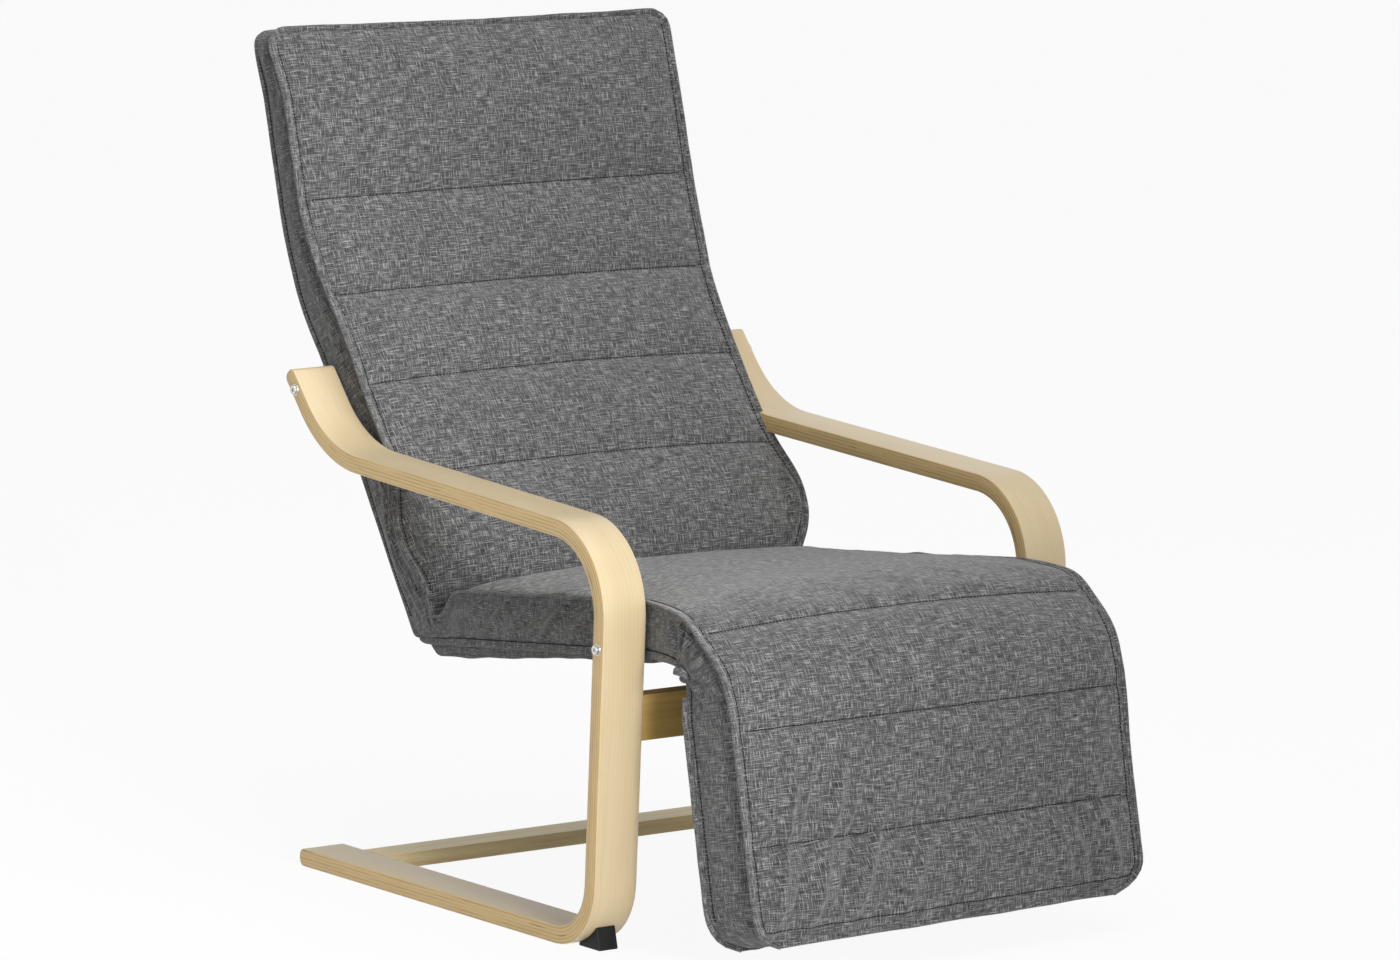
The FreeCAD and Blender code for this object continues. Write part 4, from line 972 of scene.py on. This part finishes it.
seat_half_depth = 0.038
leg_front_taper, leg_front_taper_reach = 0.010, 0.03
leg_rear_taper, leg_rear_taper_reach = 0.009, 0.05
leg_crown_from = 0.12
leg_hollow = 0.022
leg_tilt = 0.012
leg_tilt_heights = (-0.24, -0.11)
knee_lean = 0.004
knee_lean_heights, knee_lean_reaches = (0.18, 0.30), (0.25, 0.36)
knee_wider = 0.002
knee_seam_share = 0.52
knee_lead = 0.03
curve_steps = 30
knee_outside = [(0.024, 0.0697), (-0.0192, 0.045), (-0.0561, 0.0123)]
knee_inside = (0.022, 0.004)


def smooth_line(points):
    """A fine curve through a few points."""
    points = [Vector(p) for p in points]
    ends = [points[0] * 2 - points[1], *points, points[-1] * 2 - points[-2]]
    line = []
    for a, b, c, d in zip(ends, ends[1:], ends[2:], ends[3:]):
        for i in range(curve_steps):
            t = i / curve_steps
            line.append((b * 2 + (c - a) * t + (a * 2 - b * 5 + c * 4 - d) * t * t
                         + (b * 3 - a - c * 3 + d) * t ** 3) * 0.5)
    return line + [points[-1]]


def seat_line(reach, off):
    """A point in the side view at a reach along the seat and an offset above its rail."""
    return Vector((seat_bolt.y, seat_bolt.z)) + way(seat_way) * reach + way(seat_way - math.pi / 2) * off


def leg_line(down, off):
    """A point in the side view at a distance down the leg rest and an offset in front of its rail."""
    return Vector((hinge.y, hinge.z)) + way(leg_way) * down + way(leg_way - math.pi / 2) * off


def leg_row(down):
    """The leg rest's section at a distance below the hinge."""
    over = max(0.0, down - (leg_end - leg_corner_round))
    half = leg_half - leg_corner_round + math.sqrt(max(0.0, leg_corner_round ** 2 - over ** 2))
    front = leg_front - leg_front_taper * ease(down, leg_end - leg_front_taper_reach, leg_end)
    rear = leg_rear - leg_rear_taper * ease(down, leg_end - leg_rear_taper_reach, leg_end)
    turned = max(0.0, down - (leg_end - leg_heel_round))
    rear_half = leg_half - leg_heel_round + math.sqrt(max(0.0, leg_heel_round ** 2 - turned ** 2))
    crown = knee_crown + (leg_crown - knee_crown) * ease(down, leg_start, leg_crown_from)
    return Row(leg_line(down, front), leg_line(down, -rear), half, rear_half + leg_rear_wider, crown,
               seam_pull(down, leg_seams), 0.0)


seat_rows = []
for reach in spread(seat_rear_reach, seat_straight, cloth_step)[:-1]:
    tuck = ease(-reach, -seat_crease_reach - seat_tuck_reach, -seat_crease_reach)
    lift = ease(-reach, -seat_rear_reach - seat_lift_reach, -seat_rear_reach)
    half = seat_half - seat_tuck_narrower * tuck
    wave = seat_wave * noise.noise((reach * 24, 0.0, 2.0)) * ease(-reach, 0.0, 0.06)
    upper = seat_line(reach, seat_top - seat_tuck * tuck + wave)
    lower = seat_line(reach, seat_lift * lift - seat_below)
    seat_rows.append(Row(upper, lower, half, half, seat_crown * (1 - 0.5 * tuck) - wave, 0.0, 0.0))
knee_hub = Vector((hinge.y, hinge.z))
outside = smooth_line([seat_line(seat_straight - knee_lead, seat_top), seat_line(seat_straight, seat_top),
                       *(knee_hub + Vector(spot) for spot in knee_outside),
                       leg_line(leg_start, leg_front), leg_line(leg_start + knee_lead, leg_front)])
inside = smooth_line([seat_line(seat_straight - knee_lead, -seat_below),
                      seat_line(seat_straight, -seat_below), knee_hub + Vector(knee_inside),
                      leg_line(leg_start, -leg_rear), leg_line(leg_start + knee_lead, -leg_rear)])
outside, inside = outside[curve_steps:-curve_steps], inside[curve_steps:-curve_steps]
outside_run, inside_run = lengths(outside)[-1], lengths(inside)[-1]
knee_shares = spread(0.0, 1.0, cloth_step / outside_run)
knee_seam = min(range(len(knee_shares)), key=lambda i: abs(knee_shares[i] - knee_seam_share))
outer_spots = sample(outside, [share * outside_run for share in knee_shares])
inner_spots = sample(inside, [share * inside_run for share in knee_shares])
knee_first = len(seat_rows)
for i, share in enumerate(knee_shares[:-1]):
    half = seat_half + (leg_half + knee_wider - seat_half) * ease(share, -0.1, 0.5)
    half -= knee_wider * ease(share, 0.5, 1.0)
    crown = seat_crown + (knee_crown - seat_crown) * ease(share, 0.0, 0.5)
    pull = seam_pull(share * outside_run, [knee_shares[knee_seam] * outside_run])
    wider = leg_rear_wider * ease(share, 0.4, 1.0)
    seat_rows.append(Row(outer_spots[i], inner_spots[i], half, half + wider, crown, pull, 0.0))
leg_first = len(seat_rows)
leg_downs = row_places([leg_start, *leg_seams, leg_end - leg_corner_round, leg_end], leg_seams)
seat_rows += [leg_row(down) for down in leg_downs]
run = lengths([row.front for row in seat_rows])
seat_rows = [row._replace(run=place) for row, place in zip(seat_rows, run)]
seat_cushion, seat_grid, seat_rear, seat_sides = boxed_cover("seat_and_leg_rest_cushion", seat_rows,
                                                             seat_half, seat_half_depth, leg_hollow)
seat_sewn = sharp_edges(seat_cushion, panel_angle)
seat_seam_rows = [knee_first + knee_seam, *(leg_first + leg_downs.index(seam) for seam in leg_seams)]
seat_sewn.update(n for i in seat_seam_rows for n in seat_grid[i])
puff(seat_cushion, seat_sewn, pressure=0.5, slack=0.003, most=0.009)
ruffle(seat_cushion, seat_sewn, depth=0.0014, scale=12.0, seed=8.0)
for vertex in seat_cushion.data.vertices:
    vertex.co.z += leg_tilt * (vertex.co.x - leg_half) * ease(-vertex.co.z, *leg_tilt_heights)
    left = max(0.0, vertex.co.x / leg_half)
    at_knee = ease(vertex.co.z, *knee_lean_heights) * ease(-vertex.co.y, *knee_lean_reaches)
    vertex.co.x += knee_lean * left ** 2 * at_knee


def leg_spot(x, down):
    """A point on the leg rest's front."""
    spot = leg_line(down, leg_front + leg_crown)
    return Vector((x, spot.x, spot.y))


def seat_side_spot(side, reach, off):
    """A point on the seat's side panel."""
    spot = seat_line(reach, off)
    return Vector((side * seat_half, spot.x, spot.y))


seat_folds = [
    (leg_spot(-0.246, 0.292), leg_spot(-0.205, 0.120), 0.0095, 0.0075),
    (leg_spot(-0.224, 0.292), leg_spot(-0.176, 0.125), 0.0080, -0.0060),
    (leg_spot(-0.200, 0.292), leg_spot(-0.138, 0.115), 0.0105, 0.0080),
    (leg_spot(-0.172, 0.290), leg_spot(-0.108, 0.140), 0.0085, -0.0055),
    (leg_spot(-0.146, 0.290), leg_spot(-0.078, 0.150), 0.0105, 0.0065),
    (leg_spot(-0.112, 0.290), leg_spot(-0.050, 0.185), 0.0100, -0.0040),
    (leg_spot(-0.075, 0.290), leg_spot(-0.025, 0.195), 0.0110, 0.0045),
    (leg_spot(0.240, 0.288), leg_spot(0.212, 0.160), 0.0100, 0.0055),
    (leg_spot(0.205, 0.290), leg_spot(0.182, 0.185), 0.0100, -0.0040),
    (leg_spot(0.165, 0.290), leg_spot(0.150, 0.205), 0.0110, 0.0040),
]
seat_side_folds = [(-0.37, 0.0030), (-0.31, 0.0042), (-0.26, 0.0030), (-0.19, 0.0044), (-0.13, 0.0030),
                   (-0.07, 0.0040)]
side_fold_width = 0.0085
knee_gathers = [(58, 0.0050), (82, 0.0036), (104, 0.0056), (128, 0.0040), (152, 0.0058), (180, 0.0036),
                (210, 0.0050)]
gather_length, gather_width = 0.062, 0.0060
for side in (-1, 1):
    for reach, high in seat_side_folds:
        upper = seat_side_spot(side, reach + 0.050, 0.048)
        lower = seat_side_spot(side, reach - 0.03, -0.004)
        seat_folds.append((upper, lower, side_fold_width, high))
    knot = Vector((side * (seat_half + 0.005), hinge.y + 0.020, hinge.z + 0.006))
    for angle, high in knee_gathers:
        far = way(math.radians(angle)) * gather_length
        seat_folds.append((knot, knot + Vector((0.0, far.x, far.y)), gather_width, high))
fold(seat_cushion, finer(seat_cushion, seat_sewn), seat_folds)
# The seat cloth is worn up to 0.47 along the cover, and its side panels there are painted darker as painted
# shade.
seat_cushion.data.materials.append(heathered_cloth("seat_cloth", worn_and_shaded_run=0.47))
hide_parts("seat_cover", "seat_foam", "leg_rest_cover", "leg_rest_foam")

seat_first = 6
hem_rows_above_leg = 7
seat_edge, seat_facing = edge_loop(seat_grid, seat_rows, seat_cushion, seat_first, 0)
seat_flange = flange("seat_flange", seat_edge, seat_facing)
seat_flange.data.materials.append(grey_cloth)
hem_edge, hem_facing = edge_loop(seat_rear, seat_rows, seat_cushion, leg_first - hem_rows_above_leg, 0)
leg_hem = flange("leg_hem", hem_edge, hem_facing)
leg_hem.data.materials.append(grey_cloth)
seat_topstitch, _ = edge_loop(seat_grid, seat_rows, seat_cushion, seat_first, stitch_column)
seat_lines = [topstitch_line(seat_topstitch, seat_facing[stitch_column:-stitch_column])]
seat_lines += [seam_line(seat_cushion, seat_grid[i][seam_ends:-seam_ends]) for i in seat_seam_rows]
seat_lines += [side_line(seat_cushion, grid) for grid in seat_sides]
seat_threads = stitches("seat_threads", seat_lines)
seat_threads.data.materials.append(grey_thread)
for piece in (seat_cushion, seat_flange, leg_hem, seat_threads):
    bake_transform(piece)


# Knots: the tape that draws the side panels together at the knee, tied off below the hinge on each side.
# Each is a short tape of the same cloth, wound about one and a half times round, with its end left loose.
knot_tape = 0.0040
knot_turns = 1.6
knot_steps = 48
knot_out, knot_behind, knot_above = 0.004, 0.021, 0.004
knot_loop, knot_uneven = 0.0058, 0.0018
knot_sway, knot_stand, knot_drop = 0.0035, 0.002, 0.004


def cord(name, points, radius, sides=8):
    """A round cord along a line of points, its threads mapped in 'weave'."""
    run = lengths(points)
    across = (points[1] - points[0]).orthogonal().normalized()
    spots = []
    for i, spot in enumerate(points):
        ahead = (points[min(i + 1, len(points) - 1)] - points[max(i - 1, 0)]).normalized()
        across = (across - ahead * across.dot(ahead)).normalized()
        third = ahead.cross(across)
        for k in range(sides):
            angle = 2 * math.pi * k / sides
            spots.append(spot + (across * math.cos(angle) + third * math.sin(angle)) * radius)
    faces = ring_faces(len(points), sides)
    return new_mesh(name, spots, faces, "weave", ring_places(run, sides, 2 * math.pi * radius / sides))


for side_name, side in (("right", -1), ("left", 1)):
    hub = Vector((side * (seat_half + knot_out), hinge.y + knot_behind, hinge.z + knot_above))
    line = []
    for i in range(knot_steps + 1):
        share = i / knot_steps
        turn = 2 * math.pi * knot_turns * share
        wide = knot_loop + knot_uneven * math.sin(turn * 0.7)
        out = knot_sway * math.sin(turn * 1.5) + knot_stand * share
        line.append(hub + Vector((side * out, wide * math.cos(turn),
                                  wide * math.sin(turn) - knot_drop * share)))
    tie = cord(f"knee_knot_{side_name}", line, knot_tape)
    tie.data.materials.append(grey_cloth)
    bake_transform(tie)


# Under panel: a slack strip of the same cloth below the seat, sewn to the side panels' lower hems.
# It hangs a little lower than the hems and waves along its edges.
under_half = 0.2545
under_rear_narrower = 0.003
under_sag, under_front_less, under_least = 0.015, 0.008, 0.001
under_wave = 0.0022
under_rear, under_front = -0.468, 0.030
under_rise = 0.004
under_half_depth = 0.009
under_rows = []
for reach in spread(under_rear, under_front, cloth_step):
    sag = (under_sag - under_front_less * ease(reach, -0.42, -0.10)) * ease(reach, under_rear, -0.456)
    sag *= 1 - ease(reach, -0.005, under_front)
    sag += under_wave * noise.noise((reach * 22, 1.0, 6.0))
    upper = seat_line(reach, under_rise - seat_below)
    lower = seat_line(reach, -seat_below - max(sag, under_least))
    under_rows.append(Row(upper, lower, under_half, under_half - under_rear_narrower, 0.0, 0.0, reach))
under_panel, _, _, _ = boxed_cover("seat_under_panel", under_rows, under_half, under_half_depth)
finer(under_panel, set())
under_panel.data.materials.append(grey_cloth)
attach(under_panel, "chair")


# Studio: a pale floor and backdrop, a large soft lamp in front on the left, a top lamp and a white room.
# The camera stands where the photo was taken from, far away with a long lens.
floor_glow = 0.92
room_light = 0.40
floor_half = 20
white = (1.0, 1.0, 1.0, 1.0)
floor_corners = [(x * floor_half, y * floor_half, 0) for x, y in ((-1, -1), (1, -1), (1, 1), (-1, 1))]
floor_mesh = bpy.data.meshes.new("floor")
floor_mesh.from_pydata(floor_corners, [], [(0, 1, 2, 3)])
floor = bpy.data.objects.new("floor", floor_mesh)
bpy.context.collection.objects.link(floor)
floor_look, tree, shader = look("pale_floor", 0.9)
shader.inputs["Base Color"].default_value = (0.9, 0.9, 0.9, 1.0)
glow = add(tree, "ShaderNodeEmission", {"Color": white, "Strength": 1.0})


def looked_at(tree):
    """1 where the camera sees a surface, straight or through a gloss or a glass."""
    path = add(tree, "ShaderNodeLightPath", {}).outputs
    shine = calc(tree, "MAXIMUM", path["Is Glossy Ray"], path["Is Transmission Ray"])
    return calc(tree, "MAXIMUM", path["Is Camera Ray"], shine)


cover_share = calc(tree, "MULTIPLY", looked_at(tree), floor_glow)
both = add(tree, "ShaderNodeMixShader", {0: cover_share, 1: shader.outputs[0], 2: glow.outputs[0]})
tree.links.new(both.outputs[0], tree.nodes["Material Output"].inputs["Surface"])
floor_mesh.materials.append(floor_look)

room = bpy.data.worlds.new("room")
room.use_nodes = True
tree = room.node_tree
dim = tree.nodes["Background"]
dim.inputs["Color"].default_value = white
dim.inputs["Strength"].default_value = room_light
bright = add(tree, "ShaderNodeBackground", {"Color": white, "Strength": 1.0})
both = add(tree, "ShaderNodeMixShader", {0: looked_at(tree), 1: dim.outputs[0], 2: bright.outputs[0]})
tree.links.new(both.outputs[0], tree.nodes["World Output"].inputs["Surface"])
bpy.context.scene.world = room


def lamp(name, place, target, size, power, beam):
    """A square soft lamp turned to a target, with a grid that narrows its beam to an angle."""
    light = bpy.data.lights.new(name, "AREA")
    light.size = size
    light.energy = power
    light.spread = math.radians(beam)
    made = bpy.data.objects.new(name, light)
    made.location = place
    made.rotation_euler = (Vector(target) - Vector(place)).to_track_quat("-Z", "Y").to_euler()
    bpy.context.collection.objects.link(made)


lamp("front_lamp", (-1.2, -4.4, 1.6), (-1.25, 0.0, 0.52), size=1.8, power=24.5, beam=42)
lamp("top_lamp", (0.2, -0.4, 3.4), (0.0, 0.0, 0.4), size=2.4, power=40.0, beam=180)

camera_target = Vector((0.0, -0.0210, 0.4844))
camera = bpy.data.objects.new("camera", bpy.data.cameras.new("camera"))
camera.data.lens = 192.84
camera.data.sensor_width = 36.0
camera.data.clip_end = 60.0
camera.location = (-5.0039, -7.1627, 1.7873)
camera.rotation_euler = (camera_target - camera.location).to_track_quat("-Z", "Y").to_euler()
bpy.context.collection.objects.link(camera)
bpy.context.scene.camera = camera
bpy.context.scene.view_settings.view_transform = "Standard"
